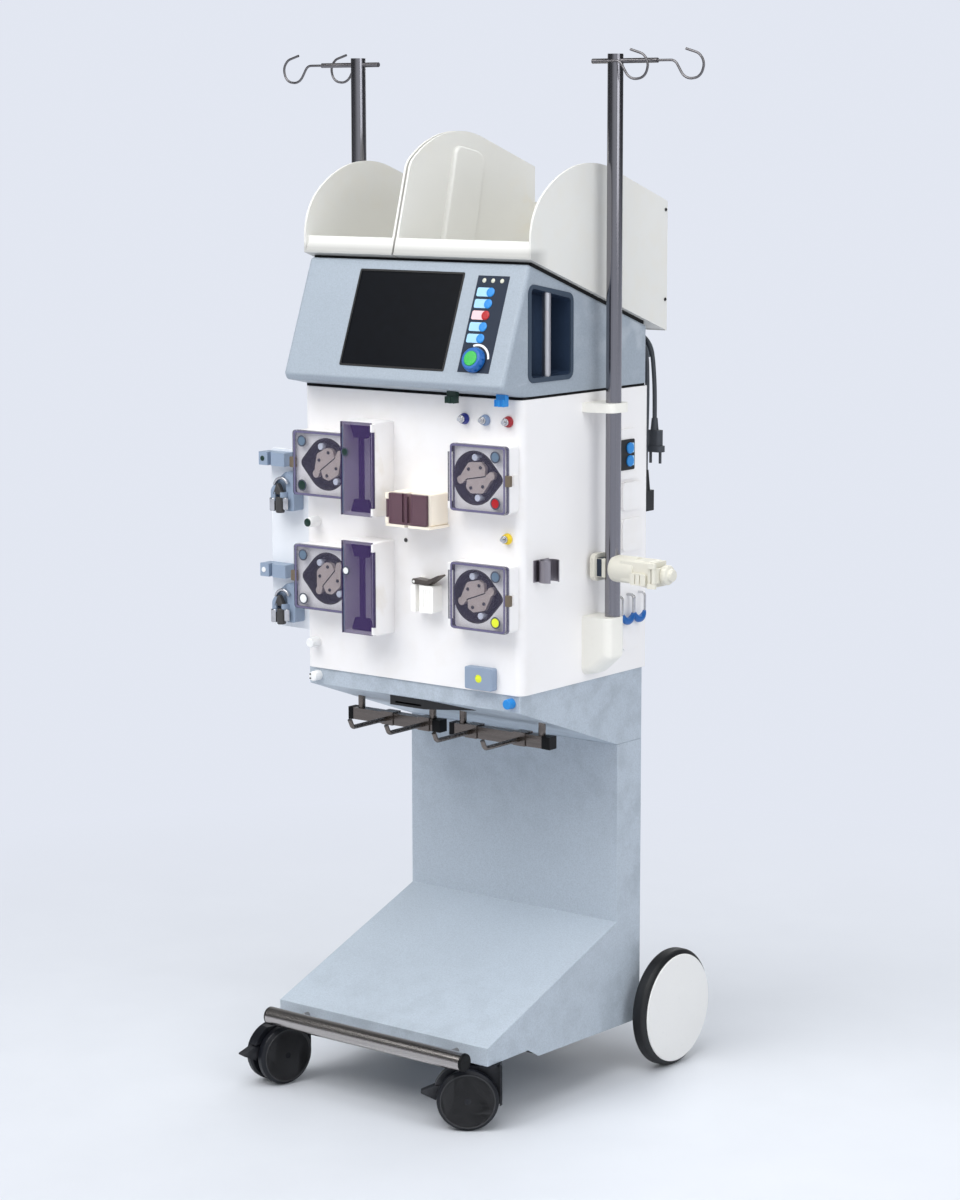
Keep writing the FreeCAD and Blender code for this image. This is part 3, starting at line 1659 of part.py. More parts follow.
def filter_jaw():
    middle = holder_z - 3
    low = middle - 11.6
    high = middle + 11.6
    plate = box(jaw_x - 2.6, jaw_x + 3.4, jaw_pin_y + 6, pole_y + 24, low, high)
    barrel = rod((jaw_x, jaw_pin_y, low), (0, 0, 1), 3.6, high - low)
    web = box(jaw_x - 2, jaw_x + 3, jaw_pin_y, jaw_pin_y + 7, low, high)
    knob = turned([(0, 0), (0, 16, 2), (9, 16, 4), (12, 10, 3), (18, 10, 3), (18, 0)],
                  (jaw_x + 3.4, pole_y + 4, middle), (1, 0, 0), (0, 0, 1))
    jaw = joined([plate, barrel, web, knob])
    return jaw.cut(rod((jaw_x, jaw_pin_y, low - 9), (0, 0, 1), hinge_pin_radius + pin_clearance, 60))


# Mains lead
def coil_solid():
    inner = coil_mean_radius - coil_half_section
    outer = coil_mean_radius + coil_half_section
    depth = 2 * coil_half_section
    return turned([(0, inner, 4), (0, outer, 4), (depth, outer, 4), (depth, inner, 4)],
                  (coil_x, coil_front, coil_z), (0, 1, 0), (0, 0, 1))


def eased(points):
    # Each corner gets the largest arc that its two runs allow.
    result = [points[0]]
    radii = []
    for before, here, after in zip(points, points[1:], points[2:]):
        a = V(here[0] - before[0], here[1] - before[1], 0)
        b = V(after[0] - here[0], after[1] - here[1], 0)
        radius = 0.45 * min(a.Length, b.Length) / math.tan(a.getAngle(b) / 2)
        radii.append(round(radius))
        result.append((here[0], here[1], radius))
    print("lead radii", radii, "lead diameter", 2 * cord_radius)
    return result + [points[-1]]


def power_cord():
    coil = coil_solid()
    strands = []
    for points, y in ((gland_strand, gland_y - strand_spacing / 2),
                      (plug_strand, gland_y + strand_spacing / 2)):
        place = lambda p, y=y: V(p.x, y, p.y)
        route = eased(points)
        strand = bent_rod(route, place, cord_radius)
        length = outline(route, place, closed=False).Length
        section = math.pi * cord_radius ** 2
        print("strand length", round(length), "volume over section x length",
              round(strand.Volume / (section * length), 4))
        strands.append(strand.cut(coil))
    return group(strands)


def cord_gland():
    # Inlet box on the rear cover with the tapered strain relief that points up.
    x, top = gland_strand[0]
    y = gland_y - strand_spacing / 2
    low = top - gland_length
    block = box(x - 17, x + 9, cabinet_depth, y + 12, low - 34, low)
    relief = turned([(-1, 0), (-1, 8), (gland_length, 5, 1), (gland_length, 0)],
                    (x, y, low), (0, 0, 1), (1, 0, 0))
    return joined([block, relief])


def mains_plug():
    # Angled two-pin plug hanging with its pins down.
    x, top = plug_strand[-1]
    y = gland_y + strand_spacing / 2
    relief = turned([(0, 0), (0, 5, 1), (22, 7), (22, 0)], (x, y, top), (0, 0, -1), (1, 0, 0))
    body = plan_prism(rectangle(x - 10, x + 14, y - 8, y + 8, 6), top - 48, top - 20)
    nose = plan_prism(rectangle(x - 14, x + 18, y - 9.5, y + 9.5, 8), top - 56, top - 46)
    pieces = [relief, body, nose]
    for dx in (-7.5, 11.5):
        pieces.append(rod((x + dx, y, top - 75), (0, 0, 1), 2.4, 22))
    return joined(pieces)


nodes["stand_shell"] = stand_shell()
nodes["chassis_frame"] = chassis_frame()
nodes["lower_pan"] = lower_pan()
nodes["bumper_bar"] = bumper_bar()
nodes["bar_end_caps"] = bar_end_caps()
for side in ("left", "right"):
    sign = -1 if side == "left" else 1
    nodes[side + "_caster_yoke"] = caster_place(caster_yoke(), side)
    nodes[side + "_caster_wheels"] = caster_place(caster_wheels(), side)
    nodes[side + "_brake_pedal"] = caster_place(brake_pedal(), side)
    nodes[side + "_rear_wheel"] = rear_wheel(sign)
    nodes[side + "_rear_tyre"] = rear_tyre(sign)
nodes["body_shell"] = body_shell()
nodes["rear_cover"] = rear_cover()
nodes["head_housing"] = head_housing()
nodes["seam_gaskets"] = seam_gaskets()
nodes["display_screen"] = display_screen()
nodes["control_strip"] = control_strip()
nodes["selector_knob"] = selector_knob()
nodes["selector_button"] = selector_button()
nodes["handle_frames"] = handle_frames()
nodes["handle_bars"] = handle_bars()
nodes["left_tray"] = left_tray()
nodes["right_tray"] = right_tray()
nodes["infusion_poles"] = infusion_poles()
nodes["pole_hooks"] = pole_hooks()
nodes["pole_mounts"] = pole_mounts()
nodes["pump_housings"] = group([pump_place(pump_housing(), name) for name in pump_names])
nodes["pump_tracks"] = group([pump_place(pump_track(), name) for name in pump_names])
for name in pump_names:
    nodes[name + "_rotor"] = rotor_place(pump_rotor(), name)
    nodes[name + "_door"] = pump_place(pump_door(), name)
nodes["warmer_housings"] = group([warmer_housing(low) for low in warmer_heights.values()])
for level, low in warmer_heights.items():
    nodes[level + "_warmer_door"] = warmer_door_shape(low)
nodes["leak_detector_body"] = leak_detector_body()
nodes["leak_detector_lid"] = leak_detector_lid()
nodes["air_detector_body"] = air_detector_body()
nodes["air_clamp_lever"] = air_clamp_lever()
nodes["front_fittings"] = front_fittings()
nodes["scale_bars"] = scale_bars()
nodes["card_reader"] = card_reader()
nodes["side_clips"] = side_clips()
nodes["side_key_panel"] = side_key_panel()
nodes["left_accessory_plate"] = left_accessory_plate()
nodes["left_tube_guides"] = left_tube_guides()
nodes["filter_holder"] = filter_holder()
nodes["filter_jaw"] = filter_jaw()
nodes["cord_coil"] = coil_solid()
nodes["power_cord"] = power_cord()
nodes["cord_gland"] = cord_gland()
nodes["mains_plug"] = mains_plug()

# Move the origin to the floor under the middle of the overall box, lead left out.
cord_nodes = ("cord_coil", "power_cord", "mains_plug")
overall = FreeCAD.BoundBox()
for name, shape in nodes.items():
    if name not in cord_nodes:
        overall.add(shape.optimalBoundingBox(True, False))
origin_shift = V(-round(overall.Center.x, 3), -round(overall.Center.y, 3), -round(overall.ZMin, 3))

os.makedirs("parts", exist_ok=True)
for name, shape in nodes.items():
    shape.translate(origin_shift)
    shape.exportStep("parts/" + name + ".step")

print(len(nodes), "nodes, shift", origin_shift)
print("box", round(overall.XLength, 1), round(overall.YLength, 1), round(overall.ZLength, 1))
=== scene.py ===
import math

import bmesh
import bpy
from mathutils import Matrix, Vector


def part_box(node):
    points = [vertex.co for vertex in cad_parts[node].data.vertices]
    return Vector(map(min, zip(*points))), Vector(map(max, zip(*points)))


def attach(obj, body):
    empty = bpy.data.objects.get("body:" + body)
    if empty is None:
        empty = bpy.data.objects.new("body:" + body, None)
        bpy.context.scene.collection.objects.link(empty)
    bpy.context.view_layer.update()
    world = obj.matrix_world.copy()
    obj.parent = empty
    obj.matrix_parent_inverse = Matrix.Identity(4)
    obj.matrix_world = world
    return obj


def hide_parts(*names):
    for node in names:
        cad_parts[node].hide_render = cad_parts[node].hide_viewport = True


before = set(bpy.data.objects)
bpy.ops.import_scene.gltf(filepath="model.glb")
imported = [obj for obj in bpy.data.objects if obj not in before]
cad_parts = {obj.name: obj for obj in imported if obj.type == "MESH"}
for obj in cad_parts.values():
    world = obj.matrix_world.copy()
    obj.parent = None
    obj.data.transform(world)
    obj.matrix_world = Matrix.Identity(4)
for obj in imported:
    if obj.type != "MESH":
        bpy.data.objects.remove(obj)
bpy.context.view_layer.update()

# Lengths below are millimetres in the cabinet's own frame: X across, Y back from the
# cabinet's front face, Z up from the floor. at() turns such a point into metres.
FRONT_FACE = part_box("body_shell")[0].y


def at(x, y, z):
    return Vector((x / 1000, FRONT_FACE + y / 1000, z / 1000))


def mm(value):
    return value / 1000


# Camera at the photograph's viewing angle
CAMERA_TURN = math.radians(37.936)
CAMERA_PITCH = math.radians(9.217)
CAMERA_ROLL = math.radians(-0.097)
CAMERA_PLACE = (2985.7, -3647.6, 1589.7)
CAMERA_LENS = 88.71


def make_camera():
    data = bpy.data.cameras.new("view_camera")
    data.lens = CAMERA_LENS
    data.sensor_width = 36
    data.clip_end = 60
    camera = bpy.data.objects.new("view_camera", data)
    bpy.context.scene.collection.objects.link(camera)
    forward = Vector((
        -math.sin(CAMERA_TURN) * math.cos(CAMERA_PITCH),
        math.cos(CAMERA_TURN) * math.cos(CAMERA_PITCH),
        -math.sin(CAMERA_PITCH),
    ))
    right = Vector((math.cos(CAMERA_TURN), math.sin(CAMERA_TURN), 0))
    up = right.cross(forward)
    right_rolled = right * math.cos(CAMERA_ROLL) + up * math.sin(CAMERA_ROLL)
    up_rolled = up * math.cos(CAMERA_ROLL) - right * math.sin(CAMERA_ROLL)
    turn = Matrix((right_rolled, up_rolled, -forward)).transposed()
    camera.matrix_world = Matrix.Translation(at(*CAMERA_PLACE)) @ turn.to_4x4()
    bpy.context.scene.camera = camera


make_camera()


# Material kit
def linear(srgb):
    parts = [c / 12.92 if c <= 0.04045 else ((c + 0.055) / 1.055) ** 2.4 for c in srgb]
    return (parts[0], parts[1], parts[2], 1.0)


def hex_colour(code):
    return tuple(int(code[i:i + 2], 16) / 255 for i in (0, 2, 4))


class Graph:
    """Small helper that builds one material's node tree."""

    def __init__(self, name):
        self.material = bpy.data.materials.new(name)
        self.material.use_nodes = True
        self.tree = self.material.node_tree
        self.shader = self.tree.nodes["Principled BSDF"]
        self.place = self.add("ShaderNodeTexCoord").outputs["Object"]

    def add(self, kind, **settings):
        node = self.tree.nodes.new(kind)
        for key, value in settings.items():
            setattr(node, key, value)
        return node

    def link(self, source, target):
        self.tree.links.new(source, target)

    def stretched(self, stretch):
        node = self.add("ShaderNodeMapping")
        node.inputs["Scale"].default_value = stretch
        self.link(self.place, node.inputs["Vector"])
        return node.outputs["Vector"]

    def noise(self, scale, detail=4.0, roughness=0.55, stretch=None):
        node = self.add("ShaderNodeTexNoise")
        node.inputs["Scale"].default_value = scale
        node.inputs["Detail"].default_value = detail
        node.inputs["Roughness"].default_value = roughness
        self.link(self.stretched(stretch) if stretch else self.place, node.inputs["Vector"])
        return node.outputs["Fac"]

    def spread(self, value, low, high, out_low, out_high):
        node = self.add("ShaderNodeMapRange")
        for key, number in (("From Min", low), ("From Max", high),
                            ("To Min", out_low), ("To Max", out_high)):
            node.inputs[key].default_value = number
        self.link(value, node.inputs["Value"])
        return node.outputs["Result"]

    def mix(self, factor, first, second):
        node = self.add("ShaderNodeMix", data_type="RGBA")
        for socket, value in ((0, factor), (6, first), (7, second)):
            if isinstance(value, (tuple, float)):
                node.inputs[socket].default_value = value
            else:
                self.link(value, node.inputs[socket])
        return node.outputs[2]

    def bump(self, height, distance, strength=1.0, under=None):
        node = self.add("ShaderNodeBump")
        node.inputs["Distance"].default_value = distance
        node.inputs["Strength"].default_value = strength
        self.link(height, node.inputs["Height"])
        if under is not None:
            self.link(under, node.inputs["Normal"])
        self.link(node.outputs["Normal"], self.shader.inputs["Normal"])
        return node.outputs["Normal"]

    def normal_part(self, axis):
        node = self.add("ShaderNodeSeparateXYZ")
        self.link(self.add("ShaderNodeTexCoord").outputs["Normal"], node.inputs[0])
        return node.outputs[axis]

    def absolute(self, value):
        node = self.add("ShaderNodeMath", operation="ABSOLUTE")
        self.link(value, node.inputs[0])
        return node.outputs[0]

    def set(self, **values):
        for key, value in values.items():
            self.shader.inputs[key.replace("_", " ")].default_value = value


def worn_edges(graph, clean, worn, amount):
    """Colour that turns to the worn one on convex edges, broken up by noise."""
    pointiness = graph.add("ShaderNodeNewGeometry").outputs["Pointiness"]
    edge = graph.spread(pointiness, 0.52, 0.62, 0.0, amount)
    patches = graph.spread(graph.noise(26, 6), 0.45, 0.62, 0.0, 1.0)
    both = graph.add("ShaderNodeMath", operation="MULTIPLY")
    graph.link(edge, both.inputs[0])
    graph.link(patches, both.inputs[1])
    return graph.mix(both.outputs[0], clean, linear(worn))


# Front lips of the trays, in metres, where painted shade darkens them: how far back they reach and
# how high
LIP_REACH = 0.03
LIP_TOP = 1.385


def paint(name, colour, rough=0.38, grain=0.00012, grain_scale=900, worn=None, coat=0.0,
          variation=0.012, dust=0.0, speckle=0.0, specular=0.5, lip_shade=1.0):
    """Sprayed or moulded surface: fine grain, slow colour drift and scuffed edges.
    The trays' front lips carry painted shade: their colour is darkened by the given factor to hold
    back the light they catch."""
    graph = Graph(name)
    lighter = tuple(min(1, c * (1 + variation)) for c in colour)
    darker = tuple(c * (1 - variation) for c in colour)
    drift = graph.spread(graph.noise(3.5, 3), 0.3, 0.7, 0.0, 1.0)
    base = graph.mix(drift, linear(darker), linear(lighter))
    if speckle:
        dots = graph.spread(graph.noise(420, 3, 0.7), 0.38, 0.68, 0.0, speckle)
        base = graph.mix(dots, base, linear(tuple(c * 0.8 for c in colour)))
    if dust:
        specks = graph.spread(graph.noise(140, 8, 0.7), 0.58, 0.75, 0.0, dust)
        base = graph.mix(specks, base, linear(tuple(c * 0.72 for c in colour)))
    if worn:
        base = worn_edges(graph, base, worn, 0.5)
    # Painted shade: the trays' front lips are darkened so that they catch less light than the lamps
    # give them.
    if lip_shade < 1:
        place = graph.add("ShaderNodeSeparateXYZ")
        graph.link(graph.place, place.inputs[0])
        lip_end = FRONT_FACE + LIP_REACH
        near = graph.spread(place.outputs["Y"], lip_end, lip_end + 0.03, 1.0, 0.0)
        low = graph.spread(place.outputs["Z"], LIP_TOP, LIP_TOP + 0.01, 1.0, 0.0)
        both = graph.add("ShaderNodeMath", operation="MULTIPLY")
        graph.link(near, both.inputs[0])
        graph.link(low, both.inputs[1])
        base = graph.mix(both.outputs[0], base, linear(tuple(c * lip_shade for c in colour)))
    graph.link(base, graph.shader.inputs["Base Color"])
    smears = graph.noise(9, 5)
    graph.link(graph.spread(smears, 0.3, 0.7, rough - 0.06, rough + 0.08),
               graph.shader.inputs["Roughness"])
    graph.bump(graph.noise(grain_scale, 2), grain)
    graph.set(Coat_Weight=coat, Coat_Roughness=0.12, Specular_IOR_Level=specular)
    return graph.material


def brushed(name, colour, stretch, rough=0.3, depth=0.00006, metallic=1.0):
    """Metal with fine lines along one axis and faint hand marks."""
    graph = Graph(name)
    lines = graph.noise(1.0, 3, 0.6, stretch)
    marks = graph.spread(graph.noise(12, 5), 0.4, 0.7, 0.0, 0.35)
    dark = tuple(c * 0.82 for c in colour)
    tone = graph.mix(graph.spread(lines, 0.3, 0.7, 0.0, 1.0), linear(dark), linear(colour))
    tone = graph.mix(marks, tone, linear(tuple(c * 0.9 for c in colour)))
    graph.link(tone, graph.shader.inputs["Base Color"])
    graph.link(graph.spread(lines, 0.3, 0.7, rough - 0.08, rough + 0.1),
               graph.shader.inputs["Roughness"])
    graph.bump(lines, depth)
    graph.set(Metallic=metallic)
    return graph.material


def clear_door(name, face_colour, edge_colour, face_alpha, edge_alpha, rough=0.12):
    """Moulded sheet that looks clear through its face and deep coloured at its edges."""
    graph = Graph(name)
    flat = graph.spread(graph.absolute(graph.normal_part("Y")), 0.8, 0.97, 0.0, 1.0)
    drift = graph.spread(graph.noise(14, 3), 0.3, 0.7, 0.0, 1.0)
    face = graph.mix(drift, linear(tuple(c * 0.93 for c in face_colour)), linear(face_colour))
    graph.link(graph.mix(flat, linear(edge_colour), face), graph.shader.inputs["Base Color"])
    graph.link(graph.spread(flat, 0.0, 1.0, edge_alpha, face_alpha), graph.shader.inputs["Alpha"])
    scratches = graph.noise(1.0, 2, 0.5, (1200, 1200, 50))
    graph.link(graph.spread(scratches, 0.35, 0.75, rough, rough + 0.16),
               graph.shader.inputs["Roughness"])
    graph.bump(scratches, 0.00002)
    graph.set(IOR=1.45)
    return graph.material


def two_tone(name, near_colour, far_colour, axis, border, rough=0.42, metallic=0.0):
    """One tone up to the border along the axis, on both sides of the middle for X."""
    graph = Graph(name)
    parts = graph.add("ShaderNodeSeparateXYZ")
    graph.link(graph.place, parts.inputs[0])
    reach = graph.absolute(parts.outputs["X"]) if axis == "X" else parts.outputs[axis]
    beyond = graph.spread(reach, border - 0.0004, border + 0.0004, 0.0, 1.0)
    stain = graph.spread(graph.noise(60, 6, 0.65), 0.4, 0.7, 0.0, 0.35)
    near = graph.mix(stain, linear(near_colour), linear(tuple(c * 0.86 for c in near_colour)))
    graph.link(graph.mix(beyond, near, linear(far_colour)), graph.shader.inputs["Base Color"])
    graph.link(graph.spread(graph.noise(200, 4), 0.3, 0.7, rough - 0.05, rough + 0.1),
               graph.shader.inputs["Roughness"])
    graph.bump(graph.noise(900, 2), 0.00012)
    graph.set(Metallic=metallic, Specular_IOR_Level=0.35)
    return graph.material


def dark_glass(name, colour):
    graph = Graph(name)
    cells = graph.noise(60, 2)
    graph.link(graph.mix(graph.spread(cells, 0.3, 0.7, 0.0, 1.0), linear(colour),
                         linear(tuple(c * 1.2 for c in colour))),
               graph.shader.inputs["Base Color"])
    smears = graph.noise(7, 6)
    graph.link(graph.spread(smears, 0.35, 0.7, 0.28, 0.42), graph.shader.inputs["Roughness"])
    graph.bump(graph.noise(1400, 2), 0.00001)
    graph.set(Specular_IOR_Level=0.1)
    return graph.material


HEAD_GREY = (0.635, 0.675, 0.715)
STAND_GREY = (0.73, 0.77, 0.81)
CABINET_WHITE = (0.955, 0.945, 0.94)
TRAY_WHITE = (0.885, 0.88, 0.858)
WARM_WHITE = (0.95, 0.94, 0.905)

look = {
    "head": paint("head_paint", HEAD_GREY, 0.42, worn=(0.8, 0.82, 0.84), speckle=0.4),
    "stand": paint("stand_paint", STAND_GREY, 0.46, grain=0.00016, worn=(0.5, 0.53, 0.56),
                   dust=0.12, speckle=0.45),
    "chassis": paint("chassis_paint", (0.13, 0.135, 0.145), 0.5, dust=0.3),
    "cabinet": paint("cabinet_paint", CABINET_WHITE, 0.34, grain=0.00008,
                     worn=(0.88, 0.85, 0.8)),
    # Painted shade: the factor at the end darkens the trays' front lips, which catch too much light.
    "tray": paint("tray_plastic", TRAY_WHITE, 0.44, grain=0.0001, grain_scale=1400,
                  worn=(0.88, 0.85, 0.78), lip_shade=0.84),
    "ivory": paint("ivory_plastic", WARM_WHITE, 0.42, grain_scale=1400, dust=0.08),
    "holder": paint("holder_plastic", (0.88, 0.865, 0.81), 0.42, grain_scale=1400),
    "air": paint("air_detector_plastic", (1.0, 0.99, 0.97), 0.42, grain_scale=1400),
    "disc": paint("wheel_disc_plastic", (0.93, 0.925, 0.915), 0.4, grain_scale=1400, dust=0.15),
    "cream": paint("cream_plastic", (0.97, 0.93, 0.865), 0.42, grain_scale=1400),
    "white": paint("white_plastic", (0.945, 0.945, 0.94), 0.35, grain_scale=1600),
    "frost": paint("frosted_sheet", (0.92, 0.93, 0.945), 0.3, grain_scale=1600),
    "roller": paint("roller_plastic", (0.86, 0.88, 0.93), 0.32, grain_scale=1600),
    "black": paint("black_plastic", (0.05, 0.053, 0.06), 0.42, grain_scale=1500,
                   worn=(0.16, 0.16, 0.17)),
    "caster": paint("caster_plastic", (0.06, 0.07, 0.1), 0.44, grain_scale=1200,
                    worn=(0.3, 0.3, 0.31), dust=0.3, specular=0.35),
    "cap": paint("cap_plastic", (0.02, 0.024, 0.032), 0.4, grain_scale=1200, specular=0.2),
    "caster_tread": paint("caster_tread_rubber", (0.2, 0.2, 0.21), 0.6, grain=0.0002,
                          grain_scale=700, dust=0.7),
    "tyre": paint("tyre_rubber", (0.07, 0.075, 0.09), 0.5, grain=0.0002, grain_scale=700,
                  dust=0.5),
    "seal": paint("seal_rubber", (0.035, 0.035, 0.04), 0.6, specular=0.25),
    "slate": paint("slate_plastic", (0.15, 0.19, 0.25), 0.45, grain_scale=1300,
                   worn=(0.26, 0.3, 0.36), specular=0.3),
    "strip": paint("strip_foil", (0.13, 0.17, 0.235), 0.42, grain=0.00004, grain_scale=2200,
                   specular=0.25),
    "grey": paint("grey_plastic", (0.56, 0.62, 0.7), 0.42, grain_scale=1300),
    "dark_grey": paint("dark_grey_plastic", (0.24, 0.235, 0.235), 0.45, grain_scale=1300),
    "wedge": paint("wedge_plastic", (0.07, 0.055, 0.1), 0.4, grain_scale=1300),
    "race": brushed("race_metal", (0.27, 0.25, 0.235), (30, 900, 30), 0.4, 0.00003, 0.55),
    "stainless_z": brushed("stainless_upright", (0.58, 0.575, 0.6), (90, 90, 1.2), 0.17,
                           0.000004),
    "stainless_x": brushed("stainless_across", (0.5, 0.47, 0.45), (1.5, 90, 90), 0.26, 0.00002),
    "bumper": brushed("bumper_metal", (0.76, 0.74, 0.73), (1.2, 90, 90), 0.2, 0.00002),
    "spring": brushed("spring_steel", (0.66, 0.64, 0.67), (90, 90, 1.5), 0.38, 0.00001),
    "satin": brushed("satin_steel", (0.84, 0.84, 0.86), (90, 90, 1.5), 0.34, 0.000002),
    "wire": brushed("hook_wire", (0.52, 0.51, 0.52), (20, 20, 20), 0.36, 0.000002),
    "lever": brushed("lever_steel", (0.46, 0.43, 0.41), (1.5, 90, 90), 0.4, 0.000004),
    "chrome": brushed("polished_metal", (0.86, 0.86, 0.87), (40, 40, 40), 0.1, 0.000005),
    "screen": dark_glass("display_glass", (0.035, 0.045, 0.065)),
    "door": clear_door("door_violet", (0.47, 0.45, 0.56), (0.3, 0.28, 0.4), 0.13, 0.78),
    "door_edge": paint("door_edge_violet", (0.4, 0.38, 0.5), 0.24, grain=0.00003),
    "warmer": clear_door("warmer_violet", (0.31, 0.21, 0.47), (0.24, 0.19, 0.34), 0.32, 0.85),
    "lid": clear_door("lid_brown", (0.44, 0.31, 0.36), (0.32, 0.22, 0.27), 0.66, 0.9),
    "hook_brown": paint("latch_brown", (0.42, 0.37, 0.3), 0.4),
    "blue": paint("key_blue", hex_colour("1e86d2"), 0.3, grain_scale=1800),
    "deep_blue": paint("knob_blue", hex_colour("1d62ac"), 0.32, grain_scale=1800),
    "sky": paint("field_light_blue", (0.62, 0.8, 0.93), 0.35, grain_scale=1800),
    "pink": paint("field_pink", (0.93, 0.76, 0.78), 0.35, grain_scale=1800),
    "red": paint("mark_red", hex_colour("ac0a14"), 0.32, grain_scale=1800),
    "yellow": paint("mark_yellow", hex_colour("e4ec2c"), 0.34, grain_scale=1800),
    "green": paint("button_green", hex_colour("35b44a"), 0.28, grain_scale=1800),
    "dark_green": paint("mark_dark_green", (0.01, 0.17, 0.13), 0.34, grain_scale=1800),
    "slate_mark": paint("mark_slate", (0.38, 0.46, 0.54), 0.36, grain_scale=1800),
    "slate_rim": paint("mark_rim", (0.27, 0.29, 0.35), 0.36, grain_scale=1800),
    "port_blue": paint("port_blue", (0.1, 0.15, 0.5), 0.34, grain_scale=1800),
    "port_grey": paint("port_grey", (0.52, 0.6, 0.72), 0.34, grain_scale=1800),
    "port_red": paint("port_red", (0.62, 0.09, 0.14), 0.34, grain_scale=1800),
    "port_yellow": paint("port_yellow", (0.93, 0.8, 0.12), 0.34, grain_scale=1800),
    "led": paint("lamp_clear", (0.8, 0.8, 0.74), 0.2, grain_scale=1800),
    "cord": paint("cord_rubber", (0.23, 0.245, 0.27), 0.5, grain=0.00005),
}


# Mesh kit
def finish_piece(name, mesh, body, material, smooth=True):
    piece = bpy.data.objects.new(name, mesh)
    bpy.context.scene.collection.objects.link(piece)
    mesh.materials.clear()
    mesh.materials.append(look[material])
    if smooth:
        for polygon in mesh.polygons:
            polygon.use_smooth = True
    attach(piece, body)
    return piece


def apply_modifiers(piece):
    graph = bpy.context.evaluated_depsgraph_get()
    mesh = bpy.data.meshes.new_from_object(piece.evaluated_get(graph))
    old = piece.data
    piece.modifiers.clear()
    piece.data = mesh
    mesh.name = old.name
    return piece


def bevelled(piece, width, segments=3, angle=40):
    edge = piece.modifiers.new("rounded", "BEVEL")
    edge.width = mm(width)
    edge.segments = segments
    edge.limit_method = "ANGLE"
    edge.angle_limit = math.radians(angle)
    edge.harden_normals = True
    edge.use_clamp_overlap = True
    flats = piece.modifiers.new("flat_faces", "WEIGHTED_NORMAL")
    flats.mode = "FACE_AREA"
    flats.weight = 100
    flats.keep_sharp = True
    return apply_modifiers(piece)


def merged_copy(node):
    """The node's mesh as a welded copy with flat regions made whole again."""
    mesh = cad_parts[node].data.copy()
    work = bmesh.new()
    work.from_mesh(mesh)
    bmesh.ops.remove_doubles(work, verts=work.verts, dist=1e-6)
    bmesh.ops.dissolve_limit(work, angle_limit=math.radians(0.6), verts=work.verts,
                             edges=work.edges)
    work.to_mesh(mesh)
    work.free()
    return mesh


def softened(node, body, slot, material, width, segments=2):
    """The node's own shape with rounded edges, shown in place of it."""
    piece = finish_piece(node + "_shape", merged_copy(node), body, material)
    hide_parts(node)
    return bevelled(piece, width, segments, 25)


def lathe(name, origin, axis, profile, body, material, steps=48):
    """Turned piece: profile points are (distance along the axis, radius) in millimetres."""
    work = bmesh.new()
    along = Vector(axis).normalized()
    side = along.orthogonal().normalized()
    across = along.cross(side)
    rings = []
    for distance, radius in profile:
        centre = origin + along * mm(distance)
        if radius < 1e-4:
            rings.append([work.verts.new(centre)])
            continue
        ring = []
        for i in range(steps):
            angle = 2 * math.pi * i / steps
            ring.append(work.verts.new(
                centre + (side * math.cos(angle) + across * math.sin(angle)) * mm(radius)))
        rings.append(ring)
    for low, high in zip(rings, rings[1:]):
        for i in range(steps):
            j = (i + 1) % steps
            if len(low) == 1:
                work.faces.new((low[0], high[j], high[i]))
            elif len(high) == 1:
                work.faces.new((low[i], low[j], high[0]))
            else:
                work.faces.new((low[i], low[j], high[j], high[i]))
    for ring in (rings[0], rings[-1]):
        if len(ring) > 1:
            work.faces.new(ring)
    bmesh.ops.recalc_face_normals(work, faces=work.faces)
    mesh = bpy.data.meshes.new(name)
    work.to_mesh(mesh)
    work.free()
    piece = finish_piece(name, mesh, body, material)
    sharpen(mesh)
    return piece


def sharpen(mesh, angle=35):
    """Keeps edges sharper than the angle crisp on a smooth-shaded mesh."""
    work = bmesh.new()
    work.from_mesh(mesh)
    for edge in work.edges:
        if len(edge.link_faces) == 2:
            edge.smooth = edge.calc_face_angle() < math.radians(angle)
    work.to_mesh(mesh)
    work.free()


def plate(name, outline, place, depth, body, material, round_width=0.6, segments=2):
    """Flat piece: outline points are laid by place(a, b, height), height from 0 to depth."""
    work = bmesh.new()
    low = [work.verts.new(place(a, b, 0)) for a, b in outline]
    high = [work.verts.new(place(a, b, depth)) for a, b in outline]
    work.faces.new(low)
    work.faces.new(list(reversed(high)))
    count = len(outline)
    for i in range(count):
        j = (i + 1) % count
        work.faces.new((low[i], high[i], high[j], low[j]))
    bmesh.ops.recalc_face_normals(work, faces=work.faces)
    mesh = bpy.data.meshes.new(name)
    work.to_mesh(mesh)
    work.free()
    piece = finish_piece(name, mesh, body, material)
    return bevelled(piece, round_width, segments, 50)


def rounded(a0, a1, b0, b1, radius, steps=6):
    points = []
    for a, b, start in ((a1, b1, 0), (a0, b1, 90), (a0, b0, 180), (a1, b0, 270)):
        centre_a = a - radius if a == a1 else a + radius
        centre_b = b - radius if b == b1 else b + radius
        for i in range(steps + 1):
            angle = math.radians(start + 90 * i / steps)
            points.append((centre_a + radius * math.cos(angle),
                           centre_b + radius * math.sin(angle)))
    return points


def on_front(y):
    """Lays outlines on a plane that faces the operator, growing towards them."""
    return lambda a, b, height: at(a, y - height, b)


def on_right(x):
    return lambda a, b, height: at(x + height, a, b)


def screw(name, place, axis, body, radius=3.2, material="chrome"):
    """Pan-head screw with a hexagonal socket."""
    lathe(name, place, axis, [
        (0, radius * 0.9), (0, radius), (radius * 0.45, radius), (radius * 0.75, radius * 0.7),
        (radius * 0.8, radius * 0.5), (radius * 0.35, radius * 0.45), (radius * 0.35, 0),
    ], body, material, 24)


